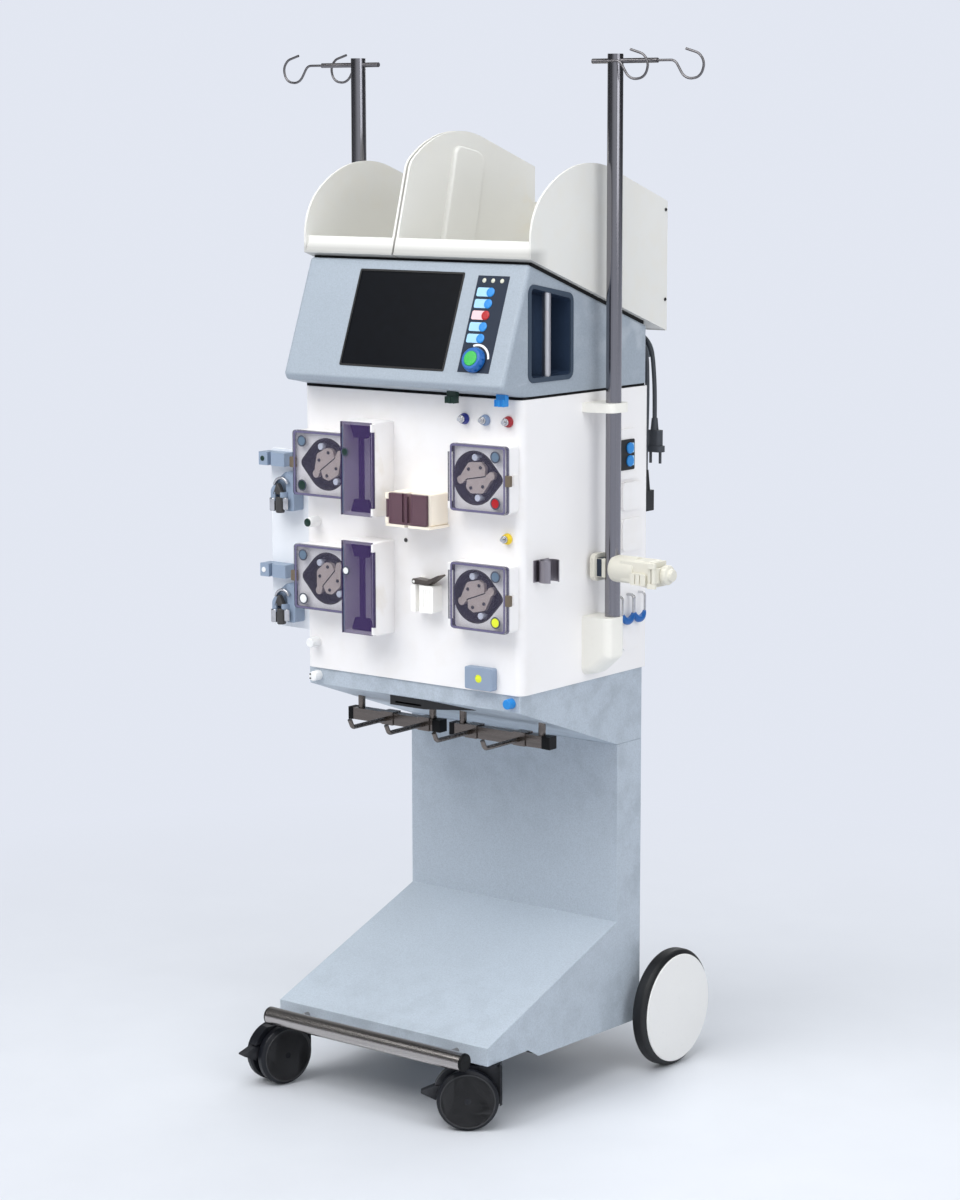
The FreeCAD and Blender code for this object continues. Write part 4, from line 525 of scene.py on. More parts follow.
# Cord: gland, over the rest behind the head, tied coil, and back over to the plug
GLAND_STRAND = (
    (214.0, 1019.0), (214.0, 1055.0), (216.0, 1108.0), (216.5, 1160.0), (214.6, 1221.0),
    (190.0, 1245.0), (156.0, 1245.0), (132.0, 1221.0), (131.6, 1179.0), (132.0, 1139.0),
)
PLUG_STRAND = (
    (39.0, 1130.0), (40.0, 1170.0), (55.0, 1208.0), (87.0, 1233.0), (122.0, 1243.0),
    (156.0, 1245.0), (190.0, 1245.0), (214.0, 1221.0), (219.0, 1172.0), (220.4, 1137.0),
    (220.4, 1104.0),
)
GLAND_Y = 354.0
PLUG_Y = 370.0
COIL_CENTRE = (85.5, 1118.0)
CORD_DIAMETER = 7.5
# Each turn's radius and depth; neighbours are one cord diameter apart.
COIL_TURNS = (
    (46.5, 354.5), (39.0, 354.5), (31.5, 354.5), (31.5, 362.0), (31.5, 369.5),
    (39.0, 369.5), (39.0, 362.0), (46.5, 362.0), (46.5, 369.5),
)
POINTS_PER_TURN = 16
WHOLE_TURNS = 8


def coil_points():
    """Clockwise seen from the front, from the right side to the left side."""
    points = []
    steps = WHOLE_TURNS * POINTS_PER_TURN + POINTS_PER_TURN // 2
    swell = 1 / math.cos(math.pi / POINTS_PER_TURN) ** 2
    for i in range(1, steps):
        turn = i / POINTS_PER_TURN
        index = min(int(turn), len(COIL_TURNS) - 2)
        blend = min(1.0, max(0.0, (turn - index - 0.75) * 4))
        if turn > len(COIL_TURNS) - 1:
            blend = 1.0
        radius_a, depth_a = COIL_TURNS[index]
        radius_b, depth_b = COIL_TURNS[index + 1]
        radius = (radius_a + (radius_b - radius_a) * blend) * swell
        depth = depth_a + (depth_b - depth_a) * blend
        angle = -2 * math.pi * turn
        points.append(at(COIL_CENTRE[0] + radius * math.cos(angle), depth,
                         COIL_CENTRE[1] + radius * math.sin(angle)))
    return points


def make_cord():
    points = [at(x, GLAND_Y, z) for x, z in GLAND_STRAND]
    points += coil_points()
    points += [at(x, PLUG_Y, z) for x, z in PLUG_STRAND]
    data = bpy.data.curves.new("mains_lead", "CURVE")
    data.dimensions = "3D"
    data.bevel_depth = mm(CORD_DIAMETER / 2)
    data.bevel_resolution = 5
    data.resolution_u = 6
    line = data.splines.new("NURBS")
    line.points.add(len(points) - 1)
    for point, place in zip(line.points, points):
        point.co = (*place, 1)
    line.order_u = 3
    line.use_endpoint_u = True
    data.materials.append(look["cord"])
    cord = bpy.data.objects.new("mains_lead", data)
    bpy.context.scene.collection.objects.link(cord)
    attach(cord, "machine")
    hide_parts("power_cord", "cord_coil")


make_cord()


# Surfaces of the carried-over nodes
def dress(node, material):
    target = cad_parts[node]
    target.data.materials.clear()
    target.data.materials.append(look[material])


GRIP_BEZEL = 224.0
look["grip"] = two_tone("grip_plastic", (0.19, 0.25, 0.34), (0.23, 0.28, 0.34), "X",
                        mm(GRIP_BEZEL))
plain = {
    "chassis_frame": "chassis", "seam_gaskets": "seal", "display_screen": "screen",
    "handle_bars": "satin", "pole_hooks": "wire", "infusion_poles": "stainless_z",
    "pump_tracks": "race", "card_reader": "black", "cord_gland": "black", "mains_plug": "cord",
    "bar_end_caps": "cap", "bumper_bar": "bumper", "scale_bars": "stainless_x",
    "side_clips": "spring", "control_strip": "strip", "selector_knob": "deep_blue",
    "selector_button": "green", "air_clamp_lever": "lever", "leak_detector_lid": "lid",
    "front_fittings": "white", "side_key_panel": "black", "left_tube_guides": "grey",
    "rear_cover": "cabinet", "handle_frames": "grip",
}
for node, material in plain.items():
    dress(node, material)
for side in ("left", "right"):
    dress(side + "_caster_yoke", "caster")
    dress(side + "_caster_wheels", "caster")
    dress(side + "_brake_pedal", "caster")
    dress(side + "_rear_wheel", "disc")
    dress(side + "_rear_tyre", "tyre")
PUMPS = ("upper_right_pump", "lower_right_pump", "upper_left_pump", "lower_left_pump")
ROTOR_FRONT = -24.0
ROTOR_THICK = 8.0
rotor_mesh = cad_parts["upper_right_pump_rotor"].data
rotor_face = min(vertex.co.y for vertex in rotor_mesh.vertices)
look["rotor"] = two_tone("rotor_cast", (0.75, 0.695, 0.665), (0.12, 0.105, 0.1), "Y",
                         rotor_face + mm(ROTOR_THICK - 0.8), metallic=0.05)
for pump in PUMPS:
    dress(pump + "_rotor", "rotor")
    dress(pump + "_door", "door")
for level in ("upper", "lower"):
    dress(level + "_warmer_door", "warmer")

# Node, body, slot, look and the width of its rounded edges
for row in (
    ("body_shell", "machine", "white_housing", "cabinet", 1.2),
    ("head_housing", "machine", "painted_grey", "head", 1.6),
    ("stand_shell", "machine", "painted_grey", "stand", 1.2),
    ("lower_pan", "machine", "painted_grey", "stand", 1.2),
    ("left_tray", "machine", "cream_tray", "tray", 1.4),
    ("right_tray", "machine", "cream_tray", "tray", 1.4),
    ("pump_housings", "machine", "white_housing", "cabinet", 1.0),
    ("warmer_housings", "machine", "white_housing", "cabinet", 1.0),
    ("pole_mounts", "machine", "white_housing", "ivory", 1.2),
    ("leak_detector_body", "machine", "cream_tray", "cream", 0.8),
    ("air_detector_body", "machine", "cream_tray", "air", 0.8),
    ("left_accessory_plate", "machine", "cream_tray", "frost", 1.2),
    ("filter_holder", "filter_holder", "grey_plastic", "holder", 0.6),
    ("filter_jaw", "filter_jaw", "black_plastic", "holder", 0.6),
):
    softened(*row)


# Details
def split_node(node, body, choose):
    """Shows the node's separate solids as pieces of their own, each with its look."""
    work = bmesh.new()
    work.from_mesh(merged_copy(node))
    remaining = set(work.faces)
    number = 0
    while remaining:
        seed = min(remaining, key=lambda f: f.index)
        island = {seed}
        edge_of_search = [seed]
        while edge_of_search:
            face = edge_of_search.pop()
            for edge in face.edges:
                for other in edge.link_faces:
                    if other not in island:
                        island.add(other)
                        edge_of_search.append(other)
        remaining -= island
        part = bmesh.new()
        matched = {}
        for face in sorted(island, key=lambda f: f.index):
            for vert in face.verts:
                if vert not in matched:
                    matched[vert] = part.verts.new(vert.co)
            part.faces.new([matched[vert] for vert in face.verts])
        corners = [vert.co for vert in part.verts]
        centre = [(min(c[i] for c in corners) + max(c[i] for c in corners)) / 2 for i in range(3)]
        x, y, z = centre[0] * 1000, (centre[1] - FRONT_FACE) * 1000, centre[2] * 1000
        label, material, width = choose(x, y, z)
        number += 1
        mesh = bpy.data.meshes.new(node + "_" + label)
        part.to_mesh(mesh)
        part.free()
        piece = finish_piece("%s_%s_%d" % (node, label, number), mesh, body, material)
        bevelled(piece, width, 2, 30)
        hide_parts(node)
    work.free()


def fitting_look(x, y, z):
    if z > 1140:
        return ("line_clip", "dark_green" if x < 150 else "blue", 0.5)
    if z > 1100 or (z > 930 and x > 150):
        return ("port", "chrome", 0.3)
    if 690 < z < 740 and x > 100:
        return ("sensor", "grey", 1.2)
    if z < 690 and x > 100:
        return ("chin_knob", "blue", 0.5)
    if abs(x) < 20:
        return ("screw_seat", "dark_grey", 0.3)
    return ("stub", "white", 0.5)


split_node("front_fittings", "machine", fitting_look)


def side_clip_look(x, y, z):
    if y < 150:
        return ("spring", "spring", 0.2)
    return ("wire_hook", "chrome", 0.2)


split_node("side_clips", "machine", side_clip_look)

# Operator panel
PANEL_FOOT = (-49.0, 1184.0)
PANEL_LEAN = math.atan2(69.5, 186.0)


def on_panel(u, v, height):
    reach = math.sin(PANEL_LEAN)
    rise = math.cos(PANEL_LEAN)
    return at(u, PANEL_FOOT[0] + v * reach - height * rise,
              PANEL_FOOT[1] + v * rise + height * reach)


PANEL_NORMAL = Vector((0, -math.cos(PANEL_LEAN), math.sin(PANEL_LEAN)))


def frame_ring(name, outer, inner, place, depth, body, material):
    """Flat ring between two outlines with the same number of points."""
    work = bmesh.new()
    rows = [[work.verts.new(place(a, b, height)) for a, b in outline]
            for outline, height in ((outer, 0), (outer, depth), (inner, depth), (inner, 0))]
    count = len(outer)
    for first, second in zip(rows, rows[1:] + rows[:1]):
        for i in range(count):
            j = (i + 1) % count
            work.faces.new((first[i], first[j], second[j], second[i]))
    bmesh.ops.recalc_face_normals(work, faces=work.faces)
    mesh = bpy.data.meshes.new(name)
    work.to_mesh(mesh)
    work.free()
    piece = finish_piece(name, mesh, body, material)
    return bevelled(piece, 0.25, 2, 50)


SCREEN = (-108.5, 101.5, 21.6, 179.3)
frame_ring("display_bezel",
           rounded(SCREEN[0] - 2.2, SCREEN[1] + 2.2, SCREEN[2] - 2.2, SCREEN[3] + 2.2, 3, 5),
           rounded(SCREEN[0] + 1.2, SCREEN[1] - 1.2, SCREEN[2] + 1.2, SCREEN[3] - 1.2, 1.5, 5),
           on_panel, 0.7, "machine", "black")

STRIP = (131.0, 192.5, 20.5, 177.5)
KEY_COLUMN = 162.0
KEYS = ((150.8, "blue", "sky"), (132.0, "blue", "sky"), (113.2, "red", "pink"),
        (94.4, "blue", "sky"), (75.6, "blue", "sky"))
STRIP_SKIN = 0.6
for index, (v, key, field) in enumerate(KEYS):
    plate("key_field_%d" % index, rounded(STRIP[0] + 4, KEY_COLUMN - 1, v - 7.2, v + 7.2, 3),
          lambda a, b, h: on_panel(a, b, STRIP_SKIN + h), 0.12, "machine",
          field, 0.04, 1)
    lathe("foil_key_%d" % index, on_panel(KEY_COLUMN, v, STRIP_SKIN), PANEL_NORMAL,
          [(0, 7.6), (0.5, 7.6), (1.0, 7.1), (1.25, 6.0), (1.3, 2.5), (1.05, 0)],
          "machine", key, 36)
for index, u in enumerate((144.6, 162.0, 179.6)):
    lathe("panel_lamp_%d" % index, on_panel(u, 169.5, STRIP_SKIN), PANEL_NORMAL,
          [(0, 3.6), (0.4, 3.6), (0.5, 3.0), (0.9, 2.4), (1.15, 1.2), (1.2, 0)],
          "machine", "led", 24)

KNOB = (161.0, 40.0)


def knob_arc():
    outline = []
    for i in range(25):
        angle = math.radians(8 + 104 * i / 24)
        outline.append((KNOB[0] + 27.0 * math.cos(angle), KNOB[1] + 27.0 * math.sin(angle)))
    for i in range(24, -1, -1):
        angle = math.radians(8 + 104 * i / 24)
        outline.append((KNOB[0] + 23.4 * math.cos(angle), KNOB[1] + 23.4 * math.sin(angle)))
    plate("knob_arc", outline, lambda a, b, h: on_panel(a, b, STRIP_SKIN + h), 0.12, "machine",
          "white", 0.04, 1)


knob_arc()

# Pump modules
PUMP_X = 153.0
PUMP_HEIGHT = {"upper": 1037.0, "lower": 849.0}
DOOR_FRONT = -34.0
MARKS = {"upper_right_pump": "red", "lower_right_pump": "yellow",
         "upper_left_pump": "dark_green", "lower_left_pump": "white"}
ROTOR_TURN = {"upper_right_pump": 0.0, "lower_right_pump": 10.0,
              "upper_left_pump": 25.0, "lower_left_pump": 36.0}
TOWARDS_OPERATOR = (0, -1, 0)
DOOR_HALF = 52.7
DOOR_EDGE_WIDTH = 3.4
DOOR_EDGE_SUNK = 0.47
MARK_OUT = 46.5
MARK_UP = 36.3
SCREW_PLACES = ((-14.0, 13.0), (9.5, 16.5))
# Dividing line of the two carriers
CARRIER_SEAM = ((-19.5, -5.2), (-17.5, -4.0), (17.7, 2.2), (20.6, 4.0), (19.5, 5.2), (17.5, 4.0),
                (-17.7, -2.2), (-20.6, -4.0))


def marker(name, x, y, z, body, material, radius=9.4):
    """Round colour mark: a pale rim with the coloured disc set in it."""
    lathe(name + "_rim", at(x, y, z), TOWARDS_OPERATOR,
          [(0, radius), (0.8, radius), (1.3, radius - 0.6), (1.3, radius - 1.6),
           (0.7, radius - 2.0), (0.7, 0)],
          body, "slate_rim", 40)
    lathe(name + "_disc", at(x, y, z), TOWARDS_OPERATOR,
          [(0.6, radius - 2.1), (1.0, radius - 2.3), (1.15, radius - 3.2), (1.2, 0)],
          body, material, 40)


def turned_about(x, z, degrees):
    angle = math.radians(degrees)
    return (x * math.cos(angle) - z * math.sin(angle), x * math.sin(angle) + z * math.cos(angle))


def pump_details(pump):
    side = -1 if "left" in pump else 1
    centre_x = side * PUMP_X
    centre_z = PUMP_HEIGHT["upper" if pump.startswith("upper") else "lower"]
    for tag, dz, material in (("top", MARK_UP, "slate_mark"), ("low", -MARK_UP, MARKS[pump])):
        marker("%s_%s_mark" % (pump, tag), centre_x + side * MARK_OUT, DOOR_FRONT, centre_z + dz,
               pump + "_door", material)
    inner, outer = sorted((centre_x - side * 43.6, centre_x + side * 65.2))
    frame_ring(pump + "_door_edge",
               rounded(inner, outer, centre_z - DOOR_HALF, centre_z + DOOR_HALF, 5.0, 5),
               rounded(inner + DOOR_EDGE_WIDTH, outer - DOOR_EDGE_WIDTH,
                       centre_z - DOOR_HALF + DOOR_EDGE_WIDTH,
                       centre_z + DOOR_HALF - DOOR_EDGE_WIDTH, 3.0, 5),
               on_front(DOOR_FRONT + DOOR_EDGE_SUNK), 0.5, pump + "_door",
               "door_edge")
    latch = centre_x + side * 68.0
    low_x, high_x = sorted((latch - side * 5.0, latch + side * 6.6))
    plate(pump + "_latch", rounded(low_x, high_x, centre_z - 8.8, centre_z + 8.8, 2.2),
          on_front(-27.0), 6.8, pump + "_door", "hook_brown", 0.8)
    for index in (0, 1):
        turn = ROTOR_TURN[pump] + 180 * index
        x, z = turned_about(-2.7, 32.0, turn)
        lathe("%s_roller_%d" % (pump, index), at(centre_x + x, -10.4, centre_z + z),
              TOWARDS_OPERATOR,
              [(0, 5.0), (0.6, 5.5), (12.4, 5.5), (13.0, 5.1), (13.2, 4.2), (13.0, 2.2), (12.6, 0)],
              pump + "_rotor", "roller", 32)
        for number, (sx, sz) in enumerate(SCREW_PLACES):
            x, z = turned_about(sx, sz, turn)
            screw("%s_screw_%d_%d" % (pump, index, number),
                  at(centre_x + x, ROTOR_FRONT + 0.1, centre_z + z), TOWARDS_OPERATOR,
                  pump + "_rotor", 2.7, "dark_grey")
    seam = [turned_about(x, z, ROTOR_TURN[pump]) for x, z in CARRIER_SEAM]
    plate(pump + "_carrier_seam", [(centre_x + x, centre_z + z) for x, z in seam],
          on_front(ROTOR_FRONT + 0.2), 0.4, pump + "_rotor", "seal", 0.1, 1)


for pump in PUMPS:
    pump_details(pump)

# Plate warmers: marks, edge strips and the dark film guides behind the doors
WARMER_LEFT = -101.0
WARMER_RIGHT = -33.0
WARMER_HEIGHT = 153.0
WARMERS = (("upper", 961.0, "dark_green"), ("lower", 768.0, "white"))


def warmer_details(level, low, mark):
    body = level + "_warmer_door"
    marker(level + "_warmer_mark", -92.0, -51.7, low + 103.0, body, mark, 7.4)
    plate(level + "_warmer_edge",
          [(WARMER_LEFT + 2.2, low + 4), (WARMER_LEFT + 3.6, low + 4),
           (WARMER_LEFT + 3.6, low + 144), (WARMER_LEFT + 2.2, low + 144)],
          on_front(-50.3), 0.35, body, "slate_mark", 0.1, 1)
    middle = (WARMER_LEFT + WARMER_RIGHT) / 2
    high = low + WARMER_HEIGHT
    for tag, base, point in (("top", high - 6.5, high - 27.0), ("low", low + 6.5, low + 27.0)):
        plate("%s_warmer_guide_%s" % (level, tag),
              [(middle - 21, base), (middle + 21, base), (middle + 14, point), (middle - 14, point)],
              on_front(-36.0), 8.0, "machine", "wedge", 1.5)
    plate(level + "_warmer_bar",
          [(middle - 4.5, low + 24), (middle + 4.5, low + 24),
           (middle + 4.5, high - 24), (middle - 4.5, high - 24)],
          on_front(-37.0), 6.0, "machine", "wedge", 1.2)


for warmer in WARMERS:
    warmer_details(*warmer)

# Coloured collars of the ports
for name, x, z, material in (("arterial", 113.3, 1126.0, "port_blue"),
                             ("spare", 155.0, 1126.0, "port_grey"),
                             ("venous", 200.3, 1126.0, "port_red"),
                             ("return", 198.4, 941.7, "port_yellow")):
    lathe("port_collar_" + name, at(x, -0.2, z), TOWARDS_OPERATOR,
          [(0, 8.6), (0.8, 9.0), (2.4, 9.0), (3.2, 8.4), (8.0, 7.4), (8.4, 6.8), (8.4, 5.4),
           (4.2, 5.2), (4.2, 4.6)],
          "machine", material, 40)

# Dots on the stubs, the sensor block and the left guides
PLATE_LEFT = -307.0
GUIDE_TOPS = (1047.0, 860.0)
for name, x, y, z, radius, material in (
    ("stub_dot_upper", -197.0, -25.0, 938.0, 6.9, "dark_green"),
    ("sensor_dot", 149.25, -12.7, 715.0, 6.9, "yellow"),
    ("guide_dot_upper", PLATE_LEFT + 4.0, -16.0, GUIDE_TOPS[0] - 11.0, 4.4, "dark_green"),
    ("guide_dot_lower", PLATE_LEFT + 4.0, -16.0, GUIDE_TOPS[1] - 11.0, 4.4, "white"),
    ("pan_knob_eye_upper", -204.0, -14.0, 682.5, 1.5, "black"),
    ("pan_knob_eye_lower", -204.0, -14.0, 675.5, 1.5, "black"),
):
    lathe(name, at(x, y, z), TOWARDS_OPERATOR,
          [(-0.2, radius), (0.6, radius - 0.1), (1.1, radius * 0.85), (1.2, 0)],
          "machine", material, 36)


def line_clamp(index, top):
    """Bright line clamp on a left guide: arched strap, dark lever and two rollers."""
    x = PLATE_LEFT + 45.0
    arch = []
    for radius, order in ((19.0, range(0, 13)), (15.5, range(12, -1, -1))):
        for i in order:
            angle = math.radians(35 + 120 * i / 12)
            arch.append((x + 3 + radius * math.cos(angle),
                         top - 62 + radius * 1.25 * math.sin(angle)))
    plate("line_clamp_strap_%d" % index, arch, on_front(-14.0), 7.0, "machine",
          "chrome", 0.8)
    plate("line_clamp_lever_%d" % index,
          [(x - 12, top - 68), (x - 4, top - 49), (x, top - 52), (x + 9, top - 68)],
          on_front(-14.0), 10.0, "machine", "dark_grey", 1.5)
    for number, (dx, radius, low, high) in enumerate(((-13, 6.5, -96, -74), (2, 7.5, -98, -72),
                                                      (14, 5.0, -92, -72))):
        lathe("line_clamp_roller_%d_%d" % (index, number), at(x + dx, -21.0, top + low), (0, 0, 1),
              [(0, 0), (0, radius - 1), (1, radius), (high - low - 1, radius),
               (high - low, radius - 1), (high - low, 0)],
              "machine", "chrome" if number != 1 else "dark_grey", 32)


for index, top in enumerate(GUIDE_TOPS):
    line_clamp(index, top)

# Right side keys, hook sleeves and screws
SIDE_PANEL_FACE = 232.5
for index, z in enumerate((1041.5, 1062.5)):
    lathe("side_key_%d" % index, at(SIDE_PANEL_FACE, 282.0, z), (1, 0, 0),
          [(-0.4, 9.2), (1.6, 9.2), (2.4, 8.4), (2.6, 4.0), (2.2, 0)],
          "machine", "blue", 36)
    plate("side_field_%d" % index, rounded(283.0, 294.5, z - 8.0, z + 8.0, 1.5),
          on_right(SIDE_PANEL_FACE - 0.05), 0.2, "machine", "sky", 0.05, 1)


def swept(name, path, radii, body, material, steps=16):
    """Round bar along the path with its own radius at each point, closed at both ends."""
    work = bmesh.new()
    rings = []
    for i, point in enumerate(path):
        along = (path[min(i + 1, len(path) - 1)] - path[max(i - 1, 0)]).normalized()
        side = Vector((1, 0, 0))
        across = along.cross(side).normalized()
        rings.append([work.verts.new(point + (side * math.cos(2 * math.pi * k / steps)
                                              + across * math.sin(2 * math.pi * k / steps))
                                     * mm(radii[i])) for k in range(steps)])
    for low, high in zip(rings, rings[1:]):
        for k in range(steps):
            m = (k + 1) % steps
            work.faces.new((low[k], low[m], high[m], high[k]))
    work.faces.new(rings[0])
    work.faces.new(list(reversed(rings[-1])))
    bmesh.ops.recalc_face_normals(work, faces=work.faces)
    mesh = bpy.data.meshes.new(name)
    work.to_mesh(mesh)
    work.free()
    piece = finish_piece(name, mesh, body, material)
    sharpen(mesh, 50)
    return piece


# Crescent sleeves on the bottoms of the two wire hooks
HOOK_X = 238.0
HOOK_Z = 794.5
for index, y in enumerate((272.0, 305.0)):
    path = []
    radii = []
    for i in range(21):
        angle = math.radians(195 + 150 * i / 20)
        swell = math.sin(math.pi * i / 20)
        reach = 14.5 + 1.5 * swell
        path.append(at(HOOK_X, y + reach * math.cos(angle), HOOK_Z + reach * math.sin(angle)))
        radii.append(2.6 + 3.6 * swell)
    swept("hook_sleeve_%d" % index, path, radii, "machine", "deep_blue")

for index, (y, z) in enumerate(((380.0, 1445.0), (380.0, 1299.0))):
    screw("tray_screw_%d" % index, at(232.0, y, z), (1, 0, 0), "machine", 2.8,
          "black")

# Dark pad between the filter clamp and its pole
POLE_Y = 192.0
HOLDER_HEIGHT = 879.0
PAD_START = 241.5
PAD_THICK = 9.5
PAD_HALF_WIDTH = 13.3
PAD_HALF_HEIGHT = 15.3
plate("holder_pad", rounded(POLE_Y - PAD_HALF_WIDTH, POLE_Y + PAD_HALF_WIDTH,
                            HOLDER_HEIGHT - PAD_HALF_HEIGHT, HOLDER_HEIGHT + PAD_HALF_HEIGHT, 2.0),
      lambda a, b, height: at(PAD_START + height, a, b), PAD_THICK, "filter_holder",
      "slate", 0.5)

# Raised rims on the outer faces of the caster wheels
CASTER_PIVOT_Y = -62.0
CASTER_TRAIL = 32.0
CASTER_RADIUS = 50.0
CASTER_FACE = 27.2
for side, pivot_x, degrees in (("left", -205.0, -15.0), ("right", 205.0, -52.0)):
    turn = math.radians(degrees)
    axle = Vector((math.cos(turn), math.sin(turn), 0))
    centre = at(pivot_x + CASTER_TRAIL * math.sin(turn),
                CASTER_PIVOT_Y - CASTER_TRAIL * math.cos(turn), CASTER_RADIUS)
    for tag, way in (("in", -1), ("out", 1)):
        lathe("%s_caster_rim_%s" % (side, tag), centre + axle * mm(CASTER_FACE) * way,
              axle * way, [(0, 42.4), (0.9, 42.8), (1.1, 43.6), (0.8, 44.4), (0, 44.8)],
              side + "_caster_wheels", "caster_tread", 48)

# Weighing bars: black end caps and the saddles that hold the hooks
SCALE_TOP = 610.0
SCALE_Y = 100.0


def bar_block(name, x0, x1, grow, material):
    outline = rounded(SCALE_Y - 9 - grow, SCALE_Y + 9 + grow, SCALE_TOP - 20 - grow,
                      SCALE_TOP + grow, 1.5, 3)
    plate(name, outline, lambda a, b, height: at(x0 + height, a, b), x1 - x0, "machine",
          material, 0.5)


for index, (left, right) in enumerate(((-203.0, -21.0), (15.0, 205.0))):
    bar_block("bar_cap_left_%d" % index, left - 0.3, left + 2.4, 0.5, "cap")
    bar_block("bar_cap_right_%d" % index, right - 8.5, right + 0.3, 0.6, "cap")
for index, x in enumerate((-125.0, -47.0, 53.0, 152.0)):
    bar_block("hook_saddle_%d" % index, x - 9.0, x + 9.0, 1.2, "stainless_x")


# Strap that ties the coil
def coil_strap(index, degrees):
    angle = math.radians(degrees)
    out = Vector((math.cos(angle), 0, math.sin(angle)))
    round_way = Vector((-math.sin(angle), 0, math.cos(angle)))
    centre = at(COIL_CENTRE[0], (GLAND_Y + PLUG_Y) / 2, COIL_CENTRE[1]) + out * mm(39.0)

    def place(a, b, height):
        return centre + out * mm(a) + Vector((0, mm(b), 0)) + round_way * mm(height - 6)

    frame_ring("coil_strap_%d" % index, rounded(-13.2, 13.2, -13.2, 13.2, 4.5, 5),
               rounded(-12.0, 12.0, -12.0, 12.0, 3.5, 5), place, 12.0, "machine",
               "black")


coil_strap(0, 60.0)
coil_strap(1, 240.0)


# Studio
BACKDROP = (0.765, 0.80, 0.885, 1.0)
FLOOR_REACH = 30.0
# Distances from the middle, in metres, over which the floor turns into the backdrop
FLOOR_FADE = (0.5, 2.0)
WORLD_STRENGTH = 0.55
# Direction, seen from above, in which mirrored light is brightest
BRIGHT_SIDE = (0.633, -0.774, 0.0)
MIRRORED_STOPS = ((0.0, 0.5), (0.1, 0.34), (0.22, 0.06), (0.72, 0.06), (0.86, 0.42), (1.0, 0.8))


def make_floor():
    mesh = bpy.data.meshes.new("studio_floor")
    corners = [(x * FLOOR_REACH, y * FLOOR_REACH, 0)
               for x, y in ((-1, -1), (1, -1), (1, 1), (-1, 1))]
    mesh.from_pydata(corners, [], [(0, 1, 2, 3)])
    floor = bpy.data.objects.new("studio_floor", mesh)
    bpy.context.scene.collection.objects.link(floor)
    graph = Graph("studio_floor_paint")
    speckle = graph.spread(graph.noise(4, 3), 0.3, 0.7, 0.0, 1.0)
    graph.link(graph.mix(speckle, (0.70, 0.72, 0.76, 1.0), (0.73, 0.75, 0.79, 1.0)),
               graph.shader.inputs["Base Color"])
    graph.set(Roughness=0.5)
    length = graph.add("ShaderNodeVectorMath", operation="LENGTH")
    graph.link(graph.place, length.inputs[0])
    far = graph.spread(length.outputs["Value"], *FLOOR_FADE, 0.0, 1.0)
    glow = graph.add("ShaderNodeEmission")
    glow.inputs["Color"].default_value = BACKDROP
    blend = graph.add("ShaderNodeMixShader")
    graph.link(far, blend.inputs[0])
    graph.link(graph.shader.outputs[0], blend.inputs[1])
    graph.link(glow.outputs[0], blend.inputs[2])
    output = graph.tree.nodes["Material Output"]
    graph.link(blend.outputs[0], output.inputs["Surface"])
    mesh.materials.append(graph.material)


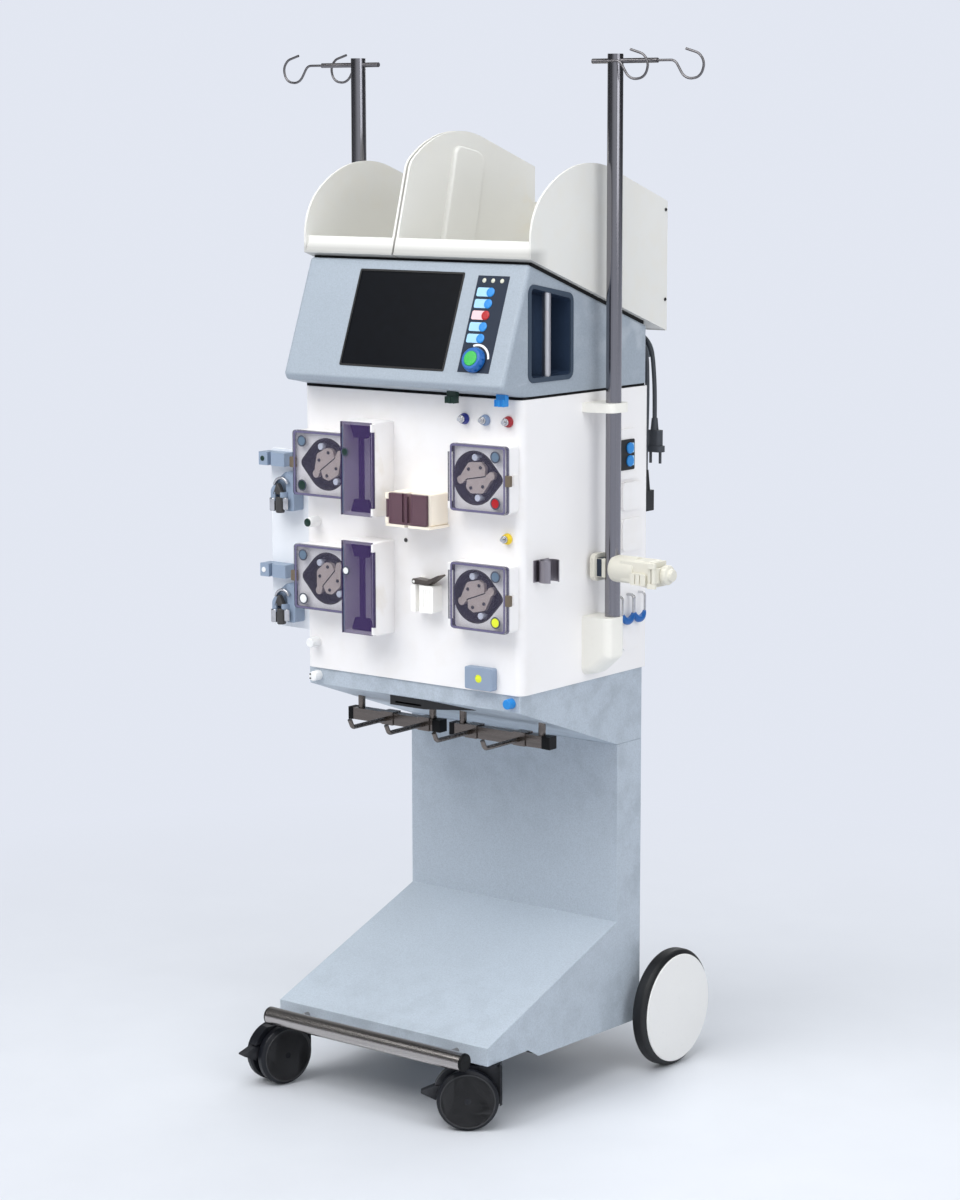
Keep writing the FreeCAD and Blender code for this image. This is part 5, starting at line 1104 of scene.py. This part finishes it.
def make_world():
    """Even light for diffuse surfaces, a bright wall with dark flanks for reflections."""
    world = bpy.data.worlds.new("studio_world")
    world.use_nodes = True
    tree = world.node_tree
    tree.nodes.clear()
    output = tree.nodes.new("ShaderNodeOutputWorld")
    paths = tree.nodes.new("ShaderNodeLightPath")
    light = tree.nodes.new("ShaderNodeBackground")
    light.inputs["Color"].default_value = (0.92, 0.955, 1.0, 1.0)
    light.inputs["Strength"].default_value = WORLD_STRENGTH
    backdrop = tree.nodes.new("ShaderNodeBackground")
    backdrop.inputs["Color"].default_value = BACKDROP
    mirrored = tree.nodes.new("ShaderNodeBackground")
    place = tree.nodes.new("ShaderNodeTexCoord")
    towards = tree.nodes.new("ShaderNodeVectorMath")
    towards.operation = "DOT_PRODUCT"
    towards.inputs[1].default_value = BRIGHT_SIDE
    tree.links.new(place.outputs["Generated"], towards.inputs[0])
    level = tree.nodes.new("ShaderNodeMapRange")
    level.inputs["From Min"].default_value = -1.0
    tree.links.new(towards.outputs["Value"], level.inputs["Value"])
    ramp = tree.nodes.new("ShaderNodeValToRGB")
    while len(ramp.color_ramp.elements) < len(MIRRORED_STOPS):
        ramp.color_ramp.elements.new(0.5)
    for element, (position, value) in zip(ramp.color_ramp.elements, MIRRORED_STOPS):
        element.position = position
        element.color = (value * 0.94, value * 0.97, value, 1.0)
    tree.links.new(level.outputs["Result"], ramp.inputs[0])
    tree.links.new(ramp.outputs["Color"], mirrored.inputs["Color"])
    seen = tree.nodes.new("ShaderNodeMath")
    seen.operation = "MAXIMUM"
    tree.links.new(paths.outputs["Is Camera Ray"], seen.inputs[0])
    tree.links.new(paths.outputs["Is Transmission Ray"], seen.inputs[1])
    first = tree.nodes.new("ShaderNodeMixShader")
    tree.links.new(paths.outputs["Is Glossy Ray"], first.inputs[0])
    tree.links.new(light.outputs[0], first.inputs[1])
    tree.links.new(mirrored.outputs[0], first.inputs[2])
    second = tree.nodes.new("ShaderNodeMixShader")
    tree.links.new(seen.outputs[0], second.inputs[0])
    tree.links.new(first.outputs[0], second.inputs[1])
    tree.links.new(backdrop.outputs[0], second.inputs[2])
    tree.links.new(second.outputs[0], output.inputs[0])
    bpy.context.scene.world = world


def soft_light(name, place, target, size, power, colour=(1, 1, 1)):
    data = bpy.data.lights.new(name, "AREA")
    data.shape = "RECTANGLE"
    data.size = size[0]
    data.size_y = size[1]
    data.energy = power
    data.color = colour
    lamp = bpy.data.objects.new(name, data)
    bpy.context.scene.collection.objects.link(lamp)
    lamp.location = place
    lamp.rotation_euler = (Vector(target) - Vector(place)).to_track_quat("-Z", "Y").to_euler()


make_floor()
make_world()
soft_light("key_light", (-1.3, -3.2, 4.0), (0, 0, 0.8), (2.6, 2.6), 90, (1.0, 1.0, 1.0))
soft_light("side_light", (3.8, -0.6, 2.6), (0, 0, 0.7), (2.2, 2.8), 47, (0.96, 0.98, 1.0))
soft_light("top_light", (0.7, -2.0, 4.6), (0, 0, 0.3), (3.6, 3.6), 104, (0.97, 0.985, 1.0))
soft_light("rear_light", (-0.6, 3.8, 2.8), (0, 0, 0.9), (2.6, 2.2), 45, (0.97, 0.985, 1.0))

bpy.context.scene.view_settings.view_transform = "Standard"
